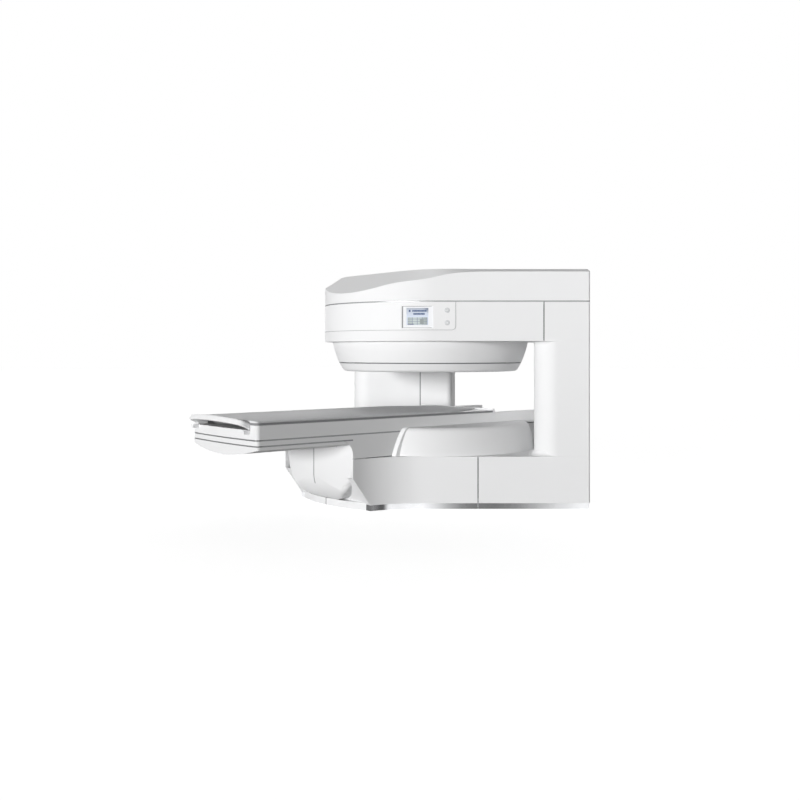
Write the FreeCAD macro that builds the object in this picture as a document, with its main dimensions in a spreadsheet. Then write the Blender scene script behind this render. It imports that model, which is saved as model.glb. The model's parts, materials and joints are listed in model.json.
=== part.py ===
"""Open magnetic resonance scanner: a two-post permanent magnet, its covers and a fixed patient table.

Frame, in millimetres: the origin is on the floor under the centre of the magnet, +X runs along the
table towards the patient's head, +Y is the far side and +Z is up. The scanner is the same on both
sides of the plane Y = 0, apart from its control fascia. Each arm of the magnet has directions of its
own: "along" runs from the magnet's axis out to the post, and "across" runs from the flank inwards.
"""

import FreeCAD
import Part

import math
import os

import Sketcher

# ---------------------------------------------------------------- driving dimensions
DRIVING_SIZES = {
    # plan of the magnet
    "nose_radius": 860,  # round nose of the yoke, and distance from the axis to each flank
    "arm_turn": 39.43,  # degrees from the table's line to each arm
    "arm_back": 50,  # back face of an arm, past the magnet axis
    "outer_rounding": 14,
    "waist_radius": 700,  # hollow curve where the base flares from the table's pedestal
    # covers
    "cover_wall": 8,
    "seam": 3,
    "seat_gap": 0.3,
    "iron_inset": 30,
    # magnet
    "yoke_plate_thickness": 180,
    "magnet_block_thickness": 160,
    "pole_plate_thickness": 110,
    "pole_rim_height": 40,
    "pole_rim_width": 45,
    "pole_set_in": 240,  # pole edge inside the nose
    "pole_gap": 542,  # between the rims of the two pole plates
    "coil_set_in": 50,
    "lower_coil_thickness": 25,
    "upper_coil_thickness": 25.7,
    # yoke covers
    "skirt_height": 293,
    "cap_wall_height": 75,
    "crown_rise": 168,
    "crown_inset": 104,
    "crown_half_front": 300,
    "ramp_run": 310,
    "ramp_half_front": 367,
    "ramp_spread": 153,
    "ramp_flank_spread": 543,
    "ramp_mouth": 450,
    "arm_cover_length": 338,
    # base
    "base_height": 383,
    "kick_height": 42,
    "kick_inset": 5,
    "kick_sheet": 3,
    "base_seam_along": 325,
    # posts
    "post_gap": 19.8,  # from the lower pole cover's foot to the post
    "post_slant": 10.764,  # degrees that the inner face leans out towards the back
    "post_thickness": 248,  # at the back
    "post_nose_rounding": 150,
    "post_back_rounding": 60,
    "post_seam_across": 230,
    # pole covers
    "pole_cover_top_set_in": 61,
    "pole_cover_seam_set_in": 113,
    "pole_cover_face_set_in": 153,
    "pole_cover_lip": 69,
    "pole_cover_rounding": 34,
    "crescent_rise": 72,
    "crescent_set_in": 5,
    "crescent_rim_set_in": 63,
    "crescent_rounding": 48,
    "crescent_trim_width": 26,
    "crescent_trim_reach": 32,
    # table
    "table_half_width": 446,
    "cantilever": 757,
    "head_overhang": 51.5,
    "table_bow": 22,
    "table_corner": 28,
    "rail_rise": 148,  # from the lower coil to the top of the rails
    "tray_depth": 99,
    "band_height": 43,
    "trough_depth": 63,
    "tray_rail": 70,
    "belly_side_drop": 25,
    "belly_drop": 52,
    "side_corner": 110,
    "table_beam_width": 42,
    # tabletop
    "tabletop_length": 2223,
    "tabletop_gap": 0.5,
    "board_thickness": 16,
    "mat_thickness": 13,
    "mat_inset": 7,
    "mat_taper": 423,  # length over which it narrows to the head end
    "mat_head_half_width": 245,
    "end_cap_length": 30,
    "keel_half_width": 120,
    "keel_clearance": 0.5,
    "runner_height": 12,
    "handle_height": 38,
    "handle_depth": 24,
    "handle_edge": 10,
    "handle_stem": 62,  # how far its stems run in under the board
    "handle_reach": 118,
    "handle_rise": 48,
    "handle_radius": 1500,
    "handle_corner": 45,
    "handle_inset": 88,
    "handle_well": 35,  # depth of the tray's well that the stems slide in
    "handle_lift": 4,  # from the well's floor to the stems
    "handle_rest_height": 24,
    "handle_rest_width": 30,
    "handle_rest_length": 55,
    # pedestal
    "pedestal_gap": 140,  # from the nose of the base to the back of the pedestal's covers
    "pedestal_length": 153,
    "pedestal_bow": 50,
    "pedestal_rounding": 45,
    "waist_lead": 33,
    "plinth_set_in": 111,
    "plinth_bow": 75,
    "plinth_narrowing": 46,
    "plinth_height": 53,
    "bowl_height": 170,
    "bowl_rounding": 175,
    "bowl_flat_half": 100,
    "flare_height": 245,  # of the base's slanted front edge
    "flare_run": 158,
    "column_depth": 92,
    "column_half_width": 275,
    # control fascia
    "fascia_height": 211,
    "fascia_along": 162.5,
    "fascia_sheet": 2.5,
    "fascia_rounding": 30,
    "display_turn": 8.05,  # degrees
    "display_half_width": 115.5,
    "display_drop": 34,
    "display_height": 161,
    "display_depth": 9,
    "screen_half_width": 81,
    "screen_top_margin": 14,
    "screen_bottom_margin": 22,
    "button_radius": 14.7,
    "button_along": 99,
    "upper_button_drop": 65,
    "lower_button_drop": 157,
}

doc = FreeCAD.newDocument("open_scanner")
sheet = doc.addObject("Spreadsheet::Sheet", "sizes")
for row, (alias, number) in enumerate(DRIVING_SIZES.items(), start=1):
    sheet.set(f"A{row}", str(number))
    sheet.setAlias(f"A{row}", alias)
doc.recompute()


# ---------------------------------------------------------------- sizes that keep their formula
class Size:
    """A number together with the sheet formula that gives it."""

    def __init__(self, value, formula):
        self.value = value
        self.formula = formula

    def __add__(self, other):
        other = as_size(other)
        return Size(self.value + other.value, f"({self.formula} + {other.formula})")

    def __sub__(self, other):
        other = as_size(other)
        return Size(self.value - other.value, f"({self.formula} - {other.formula})")

    def __mul__(self, other):
        other = as_size(other)
        return Size(self.value * other.value, f"({self.formula} * {other.formula})")

    def __truediv__(self, other):
        other = as_size(other)
        return Size(self.value / other.value, f"({self.formula} / {other.formula})")

    def __radd__(self, other):
        return as_size(other) + self

    def __rsub__(self, other):
        return as_size(other) - self

    def __rmul__(self, other):
        return as_size(other) * self

    def __neg__(self):
        return as_size(0) - self


def as_size(thing):
    return thing if isinstance(thing, Size) else Size(float(thing), f"({thing})")


def cosine(angle):
    return Size(math.cos(math.radians(angle.value)), f"cos({angle.formula})")


def sine(angle):
    return Size(math.sin(math.radians(angle.value)), f"sin({angle.formula})")


class Sizes:
    """Reads a size from the sheet by its alias."""

    def __getattr__(self, alias):
        return Size(float(sheet.get(alias)), f"sizes.{alias}")


s = Sizes()
COS = cosine(s.arm_turn)
SIN = sine(s.arm_turn)
HALF_TAN = sine(s.arm_turn) / (1 + COS)  # tangent of half the arm's turn

# ---------------------------------------------------------------- sizes worked out from the others
# heights, from the stack of iron up
STACK = s.yoke_plate_thickness + s.magnet_block_thickness + s.pole_plate_thickness + s.pole_rim_height
TOP_RIM = STACK + s.pole_gap
IRON_TOP = TOP_RIM + STACK
CAP_SEAM = IRON_TOP + s.seam
CAP_TOE = CAP_SEAM + s.cap_wall_height
CROWN = CAP_TOE + s.crown_rise
SOFFIT = CAP_SEAM - s.skirt_height
CEILING = TOP_RIM - s.upper_coil_thickness - s.cover_wall - s.seat_gap
LOWER_COIL_TOP = STACK + s.lower_coil_thickness
CRESCENT_TOP = LOWER_COIL_TOP + s.crescent_rise
FASCIA_BOTTOM = IRON_TOP - s.fascia_height
DISPLAY_TOP = IRON_TOP - s.display_drop
DISPLAY_BOTTOM = DISPLAY_TOP - s.display_height
SCREEN_TOP = DISPLAY_TOP - s.screen_top_margin
SCREEN_BOTTOM = DISPLAY_BOTTOM + s.screen_bottom_margin
UPPER_BUTTON = IRON_TOP - s.upper_button_drop
LOWER_BUTTON = IRON_TOP - s.lower_button_drop
# heights of the table, down from its rails
RAIL_TOP = LOWER_COIL_TOP + s.rail_rise
TRAY_FLOOR = RAIL_TOP - s.trough_depth
WELL_FLOOR = RAIL_TOP - s.handle_well
TRAY_SEAM = RAIL_TOP - s.tray_depth
BAND_SEAM = TRAY_SEAM - s.band_height
BELLY_SIDE = BAND_SEAM - s.belly_side_drop
# radii about the magnet's axis
POLE_RADIUS = s.nose_radius - s.pole_set_in
COIL_RADIUS = POLE_RADIUS - s.coil_set_in
CONE_TOP_RADIUS = s.nose_radius - s.pole_cover_top_set_in
CONE_SEAM_RADIUS = s.nose_radius - s.pole_cover_seam_set_in
CONE_FACE_RADIUS = s.nose_radius - s.pole_cover_face_set_in
CRESCENT_RADIUS = s.nose_radius - s.crescent_set_in
# along each arm
POST_FACE = (CRESCENT_RADIUS + s.post_gap) / cosine(s.post_slant)
POST_LEAN = sine(s.post_slant) / cosine(s.post_slant)
POST_FRONT = POST_FACE - s.nose_radius * POST_LEAN
POST_BACK = POST_FACE + s.arm_back * POST_LEAN
ARM_REACH = POST_BACK + s.post_thickness
# along the table, towards its foot
PEDESTAL_BACK = s.nose_radius + s.pedestal_gap
PEDESTAL_FRONT = PEDESTAL_BACK + s.pedestal_length
PLINTH_FRONT = PEDESTAL_FRONT - s.plinth_set_in
PLINTH_HALF_WIDTH = s.table_half_width - s.plinth_narrowing
WAIST_FOOT = PEDESTAL_FRONT - s.waist_lead
TABLE_FOOT = PEDESTAL_FRONT + s.cantilever
HEAD_FACE = ARM_REACH * COS + s.arm_back * SIN
TABLE_HEAD = HEAD_FACE + s.head_overhang
HANDLE_HALF_SPAN = s.table_half_width - s.handle_inset


# ---------------------------------------------------------------- drawing tools
class Corner:
    """A corner of an outline. A radius makes the edge that arrives here an arc; turn is 1 for an
    arc that runs anticlockwise and -1 for a clockwise one."""

    def __init__(self, x, y, radius=None, turn=1):
        self.x = as_size(x)
        self.y = as_size(y)
        self.radius = radius
        self.turn = turn


def bind(thing, path, size):
    thing.setExpression(path, as_size(size).formula)


def plane_of(body, role):
    return next(feature for feature in body.Origin.OriginFeatures if feature.Role == role)


def arc_between(start, end, radius, turn):
    """An arc of a given radius from start to end, the shorter way round."""
    chord = end - start
    across = FreeCAD.Vector(-chord.y, chord.x, 0) * (turn / chord.Length)
    rise = math.sqrt(max(radius**2 - (chord.Length / 2) ** 2, 1e-9))
    centre = start + chord * 0.5 + across * rise
    first, last = (start, end) if turn > 0 else (end, start)
    angles = [math.atan2(point.y - centre.y, point.x - centre.x) for point in (first, last)]
    circle = Part.Circle(centre, FreeCAD.Vector(0, 0, 1), radius)
    return Part.ArcOfCircle(circle, *angles)


def draw(body, name, role, corners, lift=0):
    """A closed outline on one of the body's planes, each corner held by the sheet."""
    sketch = body.newObject("Sketcher::SketchObject", name)
    sketch.AttachmentSupport = [(plane_of(body, role), "")]
    sketch.MapMode = "FlatFace"
    bind(sketch, "AttachmentOffset.Base.z", lift)
    points = [FreeCAD.Vector(corner.x.value, corner.y.value, 0) for corner in corners]
    edges = []
    for number, corner in enumerate(corners):
        start, end = points[number - 1], points[number]
        if corner.radius is None:
            sketch.addGeometry(Part.LineSegment(start, end), False)
            edges.append((1, 2))
        else:
            arc = arc_between(start, end, corner.radius.value, corner.turn)
            sketch.addGeometry(arc, False)
            edges.append((1, 2) if corner.turn > 0 else (2, 1))
    for number, corner in enumerate(corners):
        following = (number + 1) % len(corners)
        tail, head = edges[number][1], edges[following][0]
        sketch.addConstraint(Sketcher.Constraint("Coincident", number, tail, following, head))
        for kind, size in (("DistanceX", corner.x), ("DistanceY", corner.y)):
            held = Sketcher.Constraint(kind, -1, 1, number, tail, size.value)
            index = sketch.addConstraint(held)
            bind(sketch, f"Constraints[{index}]", size)
        if corner.radius is not None:
            held = Sketcher.Constraint("Radius", number, corner.radius.value)
            index = sketch.addConstraint(held)
            bind(sketch, f"Constraints[{index}]", corner.radius)
    return sketch


def new_body(name):
    body = doc.addObject("PartDesign::Body", name)
    body.Label = name
    return body


def prism(name, corners, bottom, top, role="XY_Plane"):
    """A body with a straight wall round an outline, from one height to another."""
    body = new_body(name)
    pad = body.newObject("PartDesign::Pad", f"{name}_pad")
    pad.Profile = draw(body, f"{name}_outline", role, corners, bottom)
    bind(pad, "Length", as_size(top) - bottom)
    return body


def turned(name, corners):
    """A body turned about the magnet's axis from a half section."""
    body = new_body(name)
    turn = body.newObject("PartDesign::Revolution", f"{name}_turn")
    sketch = draw(body, f"{name}_section", "XZ_Plane", corners)
    turn.Profile = sketch
    turn.ReferenceAxis = (sketch, ["V_Axis"])
    turn.Angle = 360
    return body


def round_edges(body, radius, chosen, note="rounding"):
    """Rounds the edges of a body whose middle points pass a test."""
    doc.recompute()
    base = body.Tip
    names = []
    for number, edge in enumerate(base.Shape.Edges, start=1):
        if chosen(edge.CenterOfMass, edge):
            names.append(f"Edge{number}")
    fillet = body.newObject("PartDesign::Fillet", f"{body.Name}_{note}")
    fillet.Base = (base, names)
    bind(fillet, "Radius", radius)
    return body


def upright(edge):
    """True for an edge that runs straight up."""
    if len(edge.Vertexes) != 2 or not isinstance(edge.Curve, Part.Line):
        return False
    first, last = (vertex.Point for vertex in edge.Vertexes)
    return abs(first.x - last.x) < 0.01 and abs(first.y - last.y) < 0.01


def near(point, x, y, reach=2.0):
    return math.hypot(point.x - as_size(x).value, point.y - as_size(y).value) < reach


def combine(kind, name, base, tool):
    result = doc.addObject(f"Part::{kind}", name)
    result.Label = name
    result.Base = base
    result.Tool = tool
    return result


def cut(name, base, *tools):
    for number, tool in enumerate(tools, start=1):
        last = number == len(tools)
        base = combine("Cut", name if last else f"{name}_cut_{number}", base, tool)
    return base


def common(name, base, tool):
    return combine("Common", name, base, tool)


def rounded(name, base, radius, chosen):
    """A combined shape with the edges that pass a test rounded."""
    doc.recompute()
    size = as_size(radius).value
    result = doc.addObject("Part::Fillet", name)
    result.Label = name
    result.Base = base
    result.Edges = [
        (number, size, size)
        for number, edge in enumerate(base.Shape.Edges, start=1)
        if chosen(edge.CenterOfMass, edge)
    ]
    return result


def fused(name, *pieces):
    result = doc.addObject("Part::MultiFuse", name)
    result.Label = name
    result.Shapes = list(pieces)
    return result


def mirrored(name, source):
    """The same piece on the far side."""
    result = doc.addObject("Part::Mirroring", name)
    result.Label = name
    result.Source = source
    result.Normal = FreeCAD.Vector(0, 1, 0)
    return result


NODES = []


def node(piece):
    """Marks a piece as one of the scanner's own, to be written out."""
    NODES.append(piece)
    return piece


def both_sides(name, piece):
    """The near piece and its mirror image, both written out."""
    node(piece)
    return node(mirrored(f"far_{name}", piece))


def group(name, *pieces):
    """Like pieces that share one node and stay separate solids."""
    result = doc.addObject("Part::Compound", name)
    result.Label = name
    result.Links = list(pieces)
    return node(result)


def pair(name, piece):
    """A small piece and its mirror image, in one node."""
    return group(name, piece, mirrored(f"{name}_mirror", piece))


# ---------------------------------------------------------------- outlines
def arm(along, across):
    """A point given in the near arm's own directions."""
    along, across = as_size(along), as_size(across)
    return along * COS + across * SIN, across * COS - along * SIN


def flip(corner):
    return Corner(corner.x, -corner.y)


def yoke_outline(inset):
    """Plan of the yoke: a round nose, two flanks, two arm ends and a straight head face."""
    nose = s.nose_radius - inset
    reach = ARM_REACH - inset
    half = [
        Corner(*arm(0, -nose)),
        Corner(*arm(reach, -nose)),
        Corner(*arm(reach, s.arm_back - inset * HALF_TAN)),
    ]
    half[0].radius = nose
    return half + [flip(corner) for corner in reversed(half)]


def base_outline(inset, foot):
    """Plan of the base: the yoke's arms, run out into the pedestal of the table."""
    half_width = s.table_half_width - inset
    flank = s.nose_radius - inset
    waist = s.waist_radius + inset
    meet = (half_width - flank * COS) / SIN
    tangent = waist * HALF_TAN
    reach = ARM_REACH - inset
    start = arm(meet, -flank)[0] - tangent
    half = [
        Corner(-foot, -half_width),
        Corner(start, -half_width),
        Corner(*arm(meet + tangent, -flank), radius=waist, turn=-1),
        Corner(*arm(reach, -flank)),
        Corner(*arm(reach, s.arm_back - inset * HALF_TAN)),
    ]
    far = [flip(corner) for corner in reversed(half)]
    far[3].radius = waist
    far[3].turn = -1
    return half + far


def post_outline(inset):
    """Plan of the near post: its front is flush with the flank and its inner face slants."""
    front = s.nose_radius - inset
    back = s.arm_back - inset
    end = ARM_REACH - inset
    return [
        Corner(*arm(POST_FRONT + inset, -front)),
        Corner(*arm(end, -front)),
        Corner(*arm(end, back)),
        Corner(*arm(POST_BACK + inset, back)),
    ]


def table_outline(inset, foot, head):
    """Plan of the table: straight sides, a square head end and a bowed foot end."""
    half = s.table_half_width - inset
    bow = (half * half + s.table_bow * s.table_bow) / (2 * s.table_bow)
    return [
        Corner(inset - foot, -half, radius=bow),
        Corner(head, -half),
        Corner(head, half),
        Corner(inset - foot, half),
    ]


def mat_outline(head):
    """Plan of the mat: the table's own outline, narrowed over its last stretch to the head end."""
    foot, shoulder = table_outline(s.mat_inset, TABLE_FOOT, head - s.mat_taper)[:2]
    narrow = s.mat_head_half_width
    return [
        foot,
        shoulder,
        Corner(head, -narrow),
        Corner(head, narrow),
        flip(shoulder),
        flip(foot),
    ]


def slant(shift):
    """The base's slanted front edge in side view, from its low end up, moved back by shift."""
    return [
        Corner(shift - WAIST_FOOT + s.flare_run, s.kick_height),
        Corner(shift - WAIST_FOOT, s.flare_height),
    ]


def arm_region(first_along, last_along, first_across, last_across):
    """A rectangle in the near arm's own directions."""
    return [
        Corner(*arm(first_along, first_across)),
        Corner(*arm(last_along, first_across)),
        Corner(*arm(last_along, last_across)),
        Corner(*arm(first_along, last_across)),
    ]


def rectangle(first_x, last_x, first_y, last_y):
    return [
        Corner(first_x, first_y),
        Corner(last_x, first_y),
        Corner(last_x, last_y),
        Corner(first_x, last_y),
    ]


def round_outline(radius):
    return [
        Corner(0, -radius, radius=radius),
        Corner(radius, 0, radius=radius),
        Corner(0, radius, radius=radius),
        Corner(-radius, 0, radius=radius),
    ]


FAR_OUT = ARM_REACH + s.nose_radius  # safely past every face


# ---------------------------------------------------------------- iron and coils
def make_magnet():
    """Two yoke plates, two posts, and on each plate a magnet block, a pole plate and its coils."""
    lower = prism("lower_yoke_plate", yoke_outline(s.iron_inset), 0, s.yoke_plate_thickness)
    node(lower)
    plate_bottom = IRON_TOP - s.yoke_plate_thickness
    upper = prism("upper_yoke_plate", yoke_outline(s.iron_inset), plate_bottom, IRON_TOP)
    node(upper)
    core = prism("near_post_core", post_outline(s.iron_inset), s.yoke_plate_thickness, plate_bottom)
    round_post(core, s.iron_inset)
    both_sides("post_core", core)

    block_top = s.yoke_plate_thickness + s.magnet_block_thickness
    disc = round_outline(POLE_RADIUS)
    node(prism("lower_magnet_block", disc, s.yoke_plate_thickness, block_top))
    node(prism("upper_magnet_block", disc, plate_bottom - s.magnet_block_thickness, plate_bottom))

    inner = POLE_RADIUS - s.pole_rim_width
    plate_face = block_top + s.pole_plate_thickness
    node(turned("lower_pole_plate", [
        Corner(0, block_top),
        Corner(POLE_RADIUS, block_top),
        Corner(POLE_RADIUS, STACK),
        Corner(inner, STACK),
        Corner(inner, plate_face),
        Corner(0, plate_face),
    ]))
    upper_face = TOP_RIM + s.pole_rim_height
    node(turned("upper_pole_plate", [
        Corner(0, upper_face),
        Corner(inner, upper_face),
        Corner(inner, TOP_RIM),
        Corner(POLE_RADIUS, TOP_RIM),
        Corner(POLE_RADIUS, upper_face + s.pole_plate_thickness),
        Corner(0, upper_face + s.pole_plate_thickness),
    ]))
    coil = round_outline(COIL_RADIUS)
    node(prism("lower_gradient_coil", coil, plate_face, STACK))
    node(prism("upper_gradient_coil", coil, TOP_RIM, upper_face))
    node(prism("lower_receive_coil", round_outline(POLE_RADIUS), STACK, LOWER_COIL_TOP))
    node(prism("upper_receive_coil", round_outline(POLE_RADIUS), TOP_RIM - s.upper_coil_thickness, TOP_RIM))
    return core


# ---------------------------------------------------------------- top cap
def swept_side(first, middle, last, height):
    """A smooth edge that leaves the nose square to the table and ends along the arm."""
    points = [FreeCAD.Vector(x.value, y.value, height.value) for x, y in (first, middle, last)]
    curve = Part.BSplineCurve()
    start_tangent = FreeCAD.Vector(0, -1, 0)
    end_tangent = FreeCAD.Vector(COS.value, -SIN.value, 0)
    curve.interpolate(Points=points, InitialTangent=start_tangent, FinalTangent=end_tangent)
    return curve.toShape()


def crown_wire(front, half_front, spread, flank, height):
    """One rim of the cap's dome: a straight front, a swept corner and a straight flank each side."""
    tip = (-front, -half_front)
    middle = arm(0, -(s.nose_radius + spread))
    mouth = arm(s.ramp_mouth, -(s.nose_radius + flank))
    end = arm(2 * FAR_OUT, -(s.nose_radius + flank))
    near_side = swept_side(tip, middle, mouth, height)

    def at(point, side=1):
        return FreeCAD.Vector(point[0].value, side * point[1].value, height.value)

    near_flank = Part.makeLine(at(mouth), at(end))
    far_side = near_side.mirror(FreeCAD.Vector(0, 0, 0), FreeCAD.Vector(0, 1, 0))
    far_flank = near_flank.mirror(FreeCAD.Vector(0, 0, 0), FreeCAD.Vector(0, 1, 0))
    front_line = Part.makeLine(at(tip, -1), at(tip))
    back_line = Part.makeLine(at(end), at(end, -1))
    edges = [front_line, near_side, near_flank, back_line, far_flank, far_side]
    return Part.Wire(Part.__sortEdges__(edges))


def dome(name, drop):
    """The space under the cap's crown and its sloping lens, lowered by drop."""
    crown = crown_wire(
        s.nose_radius - s.ramp_run, s.crown_half_front, -s.crown_inset, -s.crown_inset, CROWN - drop
    )
    toe = crown_wire(
        s.nose_radius, s.ramp_half_front, s.ramp_spread, s.ramp_flank_spread, CAP_TOE - drop
    )
    upper = Part.makeLoft([toe, crown], True, True)
    floor_height = CAP_SEAM.value - s.seam.value
    rise = CAP_TOE.value - drop.value - floor_height
    foot = Part.Face(toe).extrude(FreeCAD.Vector(0, 0, -rise))
    piece = doc.addObject("Part::Feature", name)
    piece.Shape = upper.fuse(foot).removeSplitter()
    return piece


def make_top_cap():
    """One moulded cap over the whole yoke, hollow underneath."""
    outer_wall = prism("cap_wall", yoke_outline(0), CAP_SEAM, CROWN)
    round_edges(outer_wall, s.outer_rounding, arm_corners)
    inner_wall = prism("cap_hollow_wall", yoke_outline(s.cover_wall), CAP_SEAM - s.seam, CROWN)
    outer = common("cap_outer", outer_wall, dome("cap_dome", as_size(0)))
    inner = common("cap_hollow", inner_wall, dome("cap_hollow_dome", s.cover_wall * 1.1))
    node(cut("top_cap", outer, inner))


def arm_corners(point, edge):
    """The two upright outer corners of the arms, on whichever outline was drawn."""
    return upright(edge) and abs(point.y) > s.nose_radius.value


# ---------------------------------------------------------------- yoke covers
def make_yoke_covers(core):
    """A skirt round the yoke in four pieces, a soffit under it and the frame that carries them."""
    top = CAP_SEAM - s.seam
    outer = prism("skirt_outer", yoke_outline(0), SOFFIT, top)
    round_edges(outer, s.outer_rounding, arm_corners)
    inner = prism("skirt_inner", yoke_outline(s.cover_wall), SOFFIT, top)
    ring = cut("skirt_ring", outer, inner)
    start = ARM_REACH - s.arm_cover_length
    back = s.arm_back - 2 * s.outer_rounding
    tall = (s.base_height, CROWN)
    arm_zone = prism("arm_zone", arm_region(start, FAR_OUT, -FAR_OUT, back), *tall)
    keep_out = arm_region(start - s.seam, FAR_OUT, -FAR_OUT, back + s.seam)
    arm_gap = prism("arm_gap", keep_out, *tall)
    far_arm_gap = mirrored("far_arm_gap", arm_gap)
    both_sides("yoke_arm_cover", common("near_yoke_arm_cover", ring, arm_zone))
    rest = cut("skirt_rest", ring, arm_gap, far_arm_gap)
    nose_zone = prism("nose_zone", rectangle(-FAR_OUT, POLE_RADIUS, -FAR_OUT, FAR_OUT), *tall)
    nose_cover = common("nose_shell", rest, nose_zone)
    node(cut("head_yoke_cover", rest, nose_zone))

    soffit = prism(
        "soffit_plate",
        yoke_outline(s.cover_wall + s.seat_gap),
        SOFFIT,
        SOFFIT + s.cover_wall,
    )
    hole = prism("soffit_hole", round_outline(CONE_TOP_RADIUS - s.cover_wall * 2), *tall)
    far_core = doc.getObject("far_post_core")
    node(cut("soffit_panel", soffit, hole, core, far_core))

    frame_inset = s.cover_wall + s.seat_gap
    low = CAP_SEAM - s.seam * 8
    high = CAP_SEAM + s.seam * 8
    frame_outer = prism("yoke_frame_outer", yoke_outline(frame_inset), low, high)
    round_edges(frame_outer, s.outer_rounding, arm_corners)
    frame_inner = prism("yoke_frame_inner", yoke_outline(s.iron_inset - s.seat_gap), low, high)
    node(cut("yoke_cover_frame", frame_outer, frame_inner))
    return nose_cover


# ---------------------------------------------------------------- control fascia
def display_point(sideways, depth):
    """A point in front of the display: sideways along its face and depth from the magnet's axis."""
    turn = s.display_turn
    along = sideways * cosine(turn) + (-depth) * sine(turn)
    across = (-depth) * cosine(turn) - sideways * sine(turn)
    return arm(along, across)


def display_block(name, half_width, front, back, bottom, top):
    corners = [
        Corner(*display_point(-half_width, front)),
        Corner(*display_point(half_width, front)),
        Corner(*display_point(half_width, back)),
        Corner(*display_point(-half_width, back)),
    ]
    return prism(name, corners, bottom, top)


def make_button(name, height):
    """A round key that slides straight into the fascia."""
    body = new_body(name)
    along = s.button_along
    sketch = body.newObject("Sketcher::SketchObject", f"{name}_outline")
    sketch.AttachmentSupport = [(plane_of(body, "XZ_Plane"), "")]
    sketch.MapMode = "FlatFace"
    circle = Part.Circle(FreeCAD.Vector(0, 0, 0), FreeCAD.Vector(0, 0, 1), s.button_radius.value)
    sketch.addGeometry(circle, False)
    sketch.addConstraint(Sketcher.Constraint("Coincident", 0, 3, -1, 1))
    held = Sketcher.Constraint("Radius", 0, s.button_radius.value)
    bind(sketch, f"Constraints[{sketch.addConstraint(held)}]", s.button_radius)
    pad = body.newObject("PartDesign::Pad", f"{name}_pad")
    pad.Profile = sketch
    bind(pad, "Length", s.fascia_sheet + 2 * s.cover_wall)
    round_edges(body, s.seam / 2, lambda point, edge: point.y < -s.cover_wall.value, "edge")
    turn = FreeCAD.Rotation(FreeCAD.Vector(0, 0, 1), -s.arm_turn.value)
    body.Placement = FreeCAD.Placement(FreeCAD.Vector(0, 0, 0), turn)
    x, y = arm(along, s.cover_wall + s.fascia_sheet - s.nose_radius)
    bind(body, "Placement.Base.x", x)
    bind(body, "Placement.Base.y", y)
    bind(body, "Placement.Base.z", height)
    bind(body, "Placement.Rotation.Angle", s.arm_turn)
    body.Placement.Rotation.Axis = FreeCAD.Vector(0, 0, -1)
    return node(body)


def make_fascia(nose_shell):
    """A thin panel round the nose with a sunk display and two round keys."""
    face = s.fascia_sheet
    top = CAP_SEAM - s.seam
    outer = prism("fascia_outer", yoke_outline(-face), FASCIA_BOTTOM, top)
    inner = prism("fascia_inner", yoke_outline(-s.seat_gap / 2), FASCIA_BOTTOM, top)
    sheet_ring = cut("fascia_ring", outer, inner)
    lean = s.nose_radius * 0.6
    zone = [
        Corner(*arm(s.fascia_along, -FAR_OUT)),
        Corner(*arm(s.fascia_along, -lean)),
    ]
    zone += [flip(corner) for corner in reversed(zone)]
    zone += [Corner(-FAR_OUT, FAR_OUT), Corner(-FAR_OUT, -FAR_OUT)]
    band = common("fascia_band", sheet_ring, prism("fascia_zone", zone, FASCIA_BOTTOM, top))
    doc.recompute()
    corners = []
    for number, edge in enumerate(band.Shape.Edges, start=1):
        low = abs(edge.CenterOfMass.z - FASCIA_BOTTOM.value) < 0.1
        if low and edge.Length < 2 * face.value:
            corners.append((number, s.fascia_rounding.value, s.fascia_rounding.value))
    sheet_piece = doc.addObject("Part::Fillet", "fascia_sheet_piece")
    sheet_piece.Base = band
    sheet_piece.Edges = corners

    deep = s.nose_radius - 3 * s.cover_wall
    window = display_block(
        "display_window", s.display_half_width, s.nose_radius + POLE_RADIUS / 4, deep,
        DISPLAY_BOTTOM, DISPLAY_TOP,
    )
    holes = []
    for name, height in (("upper", UPPER_BUTTON), ("lower", LOWER_BUTTON)):
        hole = doc.addObject("Part::Cylinder", f"{name}_button_hole")
        bind(hole, "Radius", s.button_radius + s.seat_gap)
        bind(hole, "Height", 6 * s.cover_wall)
        x, y = arm(s.button_along, 3 * s.cover_wall - s.nose_radius)
        tip = FreeCAD.Rotation(FreeCAD.Vector(1, 0, 0), 90)
        turn = FreeCAD.Rotation(FreeCAD.Vector(0, 0, 1), -s.arm_turn.value)
        hole.Placement = FreeCAD.Placement(FreeCAD.Vector(0, 0, 0), turn.multiply(tip))
        bind(hole, "Placement.Base.x", x)
        bind(hole, "Placement.Base.y", y)
        bind(hole, "Placement.Base.z", height)
        holes.append(hole)
    node(cut("control_fascia", sheet_piece, window, *holes))
    node(cut("nose_cover", nose_shell, window, *holes))

    sunk = s.nose_radius - s.display_depth
    gap = s.seat_gap
    bezel = display_block(
        "bezel_block", s.display_half_width - gap, sunk, deep, DISPLAY_BOTTOM + gap, DISPLAY_TOP - gap
    )
    opening = display_block(
        "bezel_opening", s.screen_half_width, s.nose_radius, deep - s.cover_wall,
        SCREEN_BOTTOM, SCREEN_TOP,
    )
    node(cut("display_bezel", bezel, opening))
    node(display_block(
        "display_screen", s.screen_half_width - gap, sunk - s.fascia_sheet, deep,
        SCREEN_BOTTOM + gap, SCREEN_TOP - gap,
    ))
    node(display_block(
        "display_board", s.display_half_width - s.cover_wall, deep - gap, deep - s.seam,
        DISPLAY_BOTTOM, DISPLAY_TOP,
    ))
    make_button("upper_button", UPPER_BUTTON)
    make_button("lower_button", LOWER_BUTTON)


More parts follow.
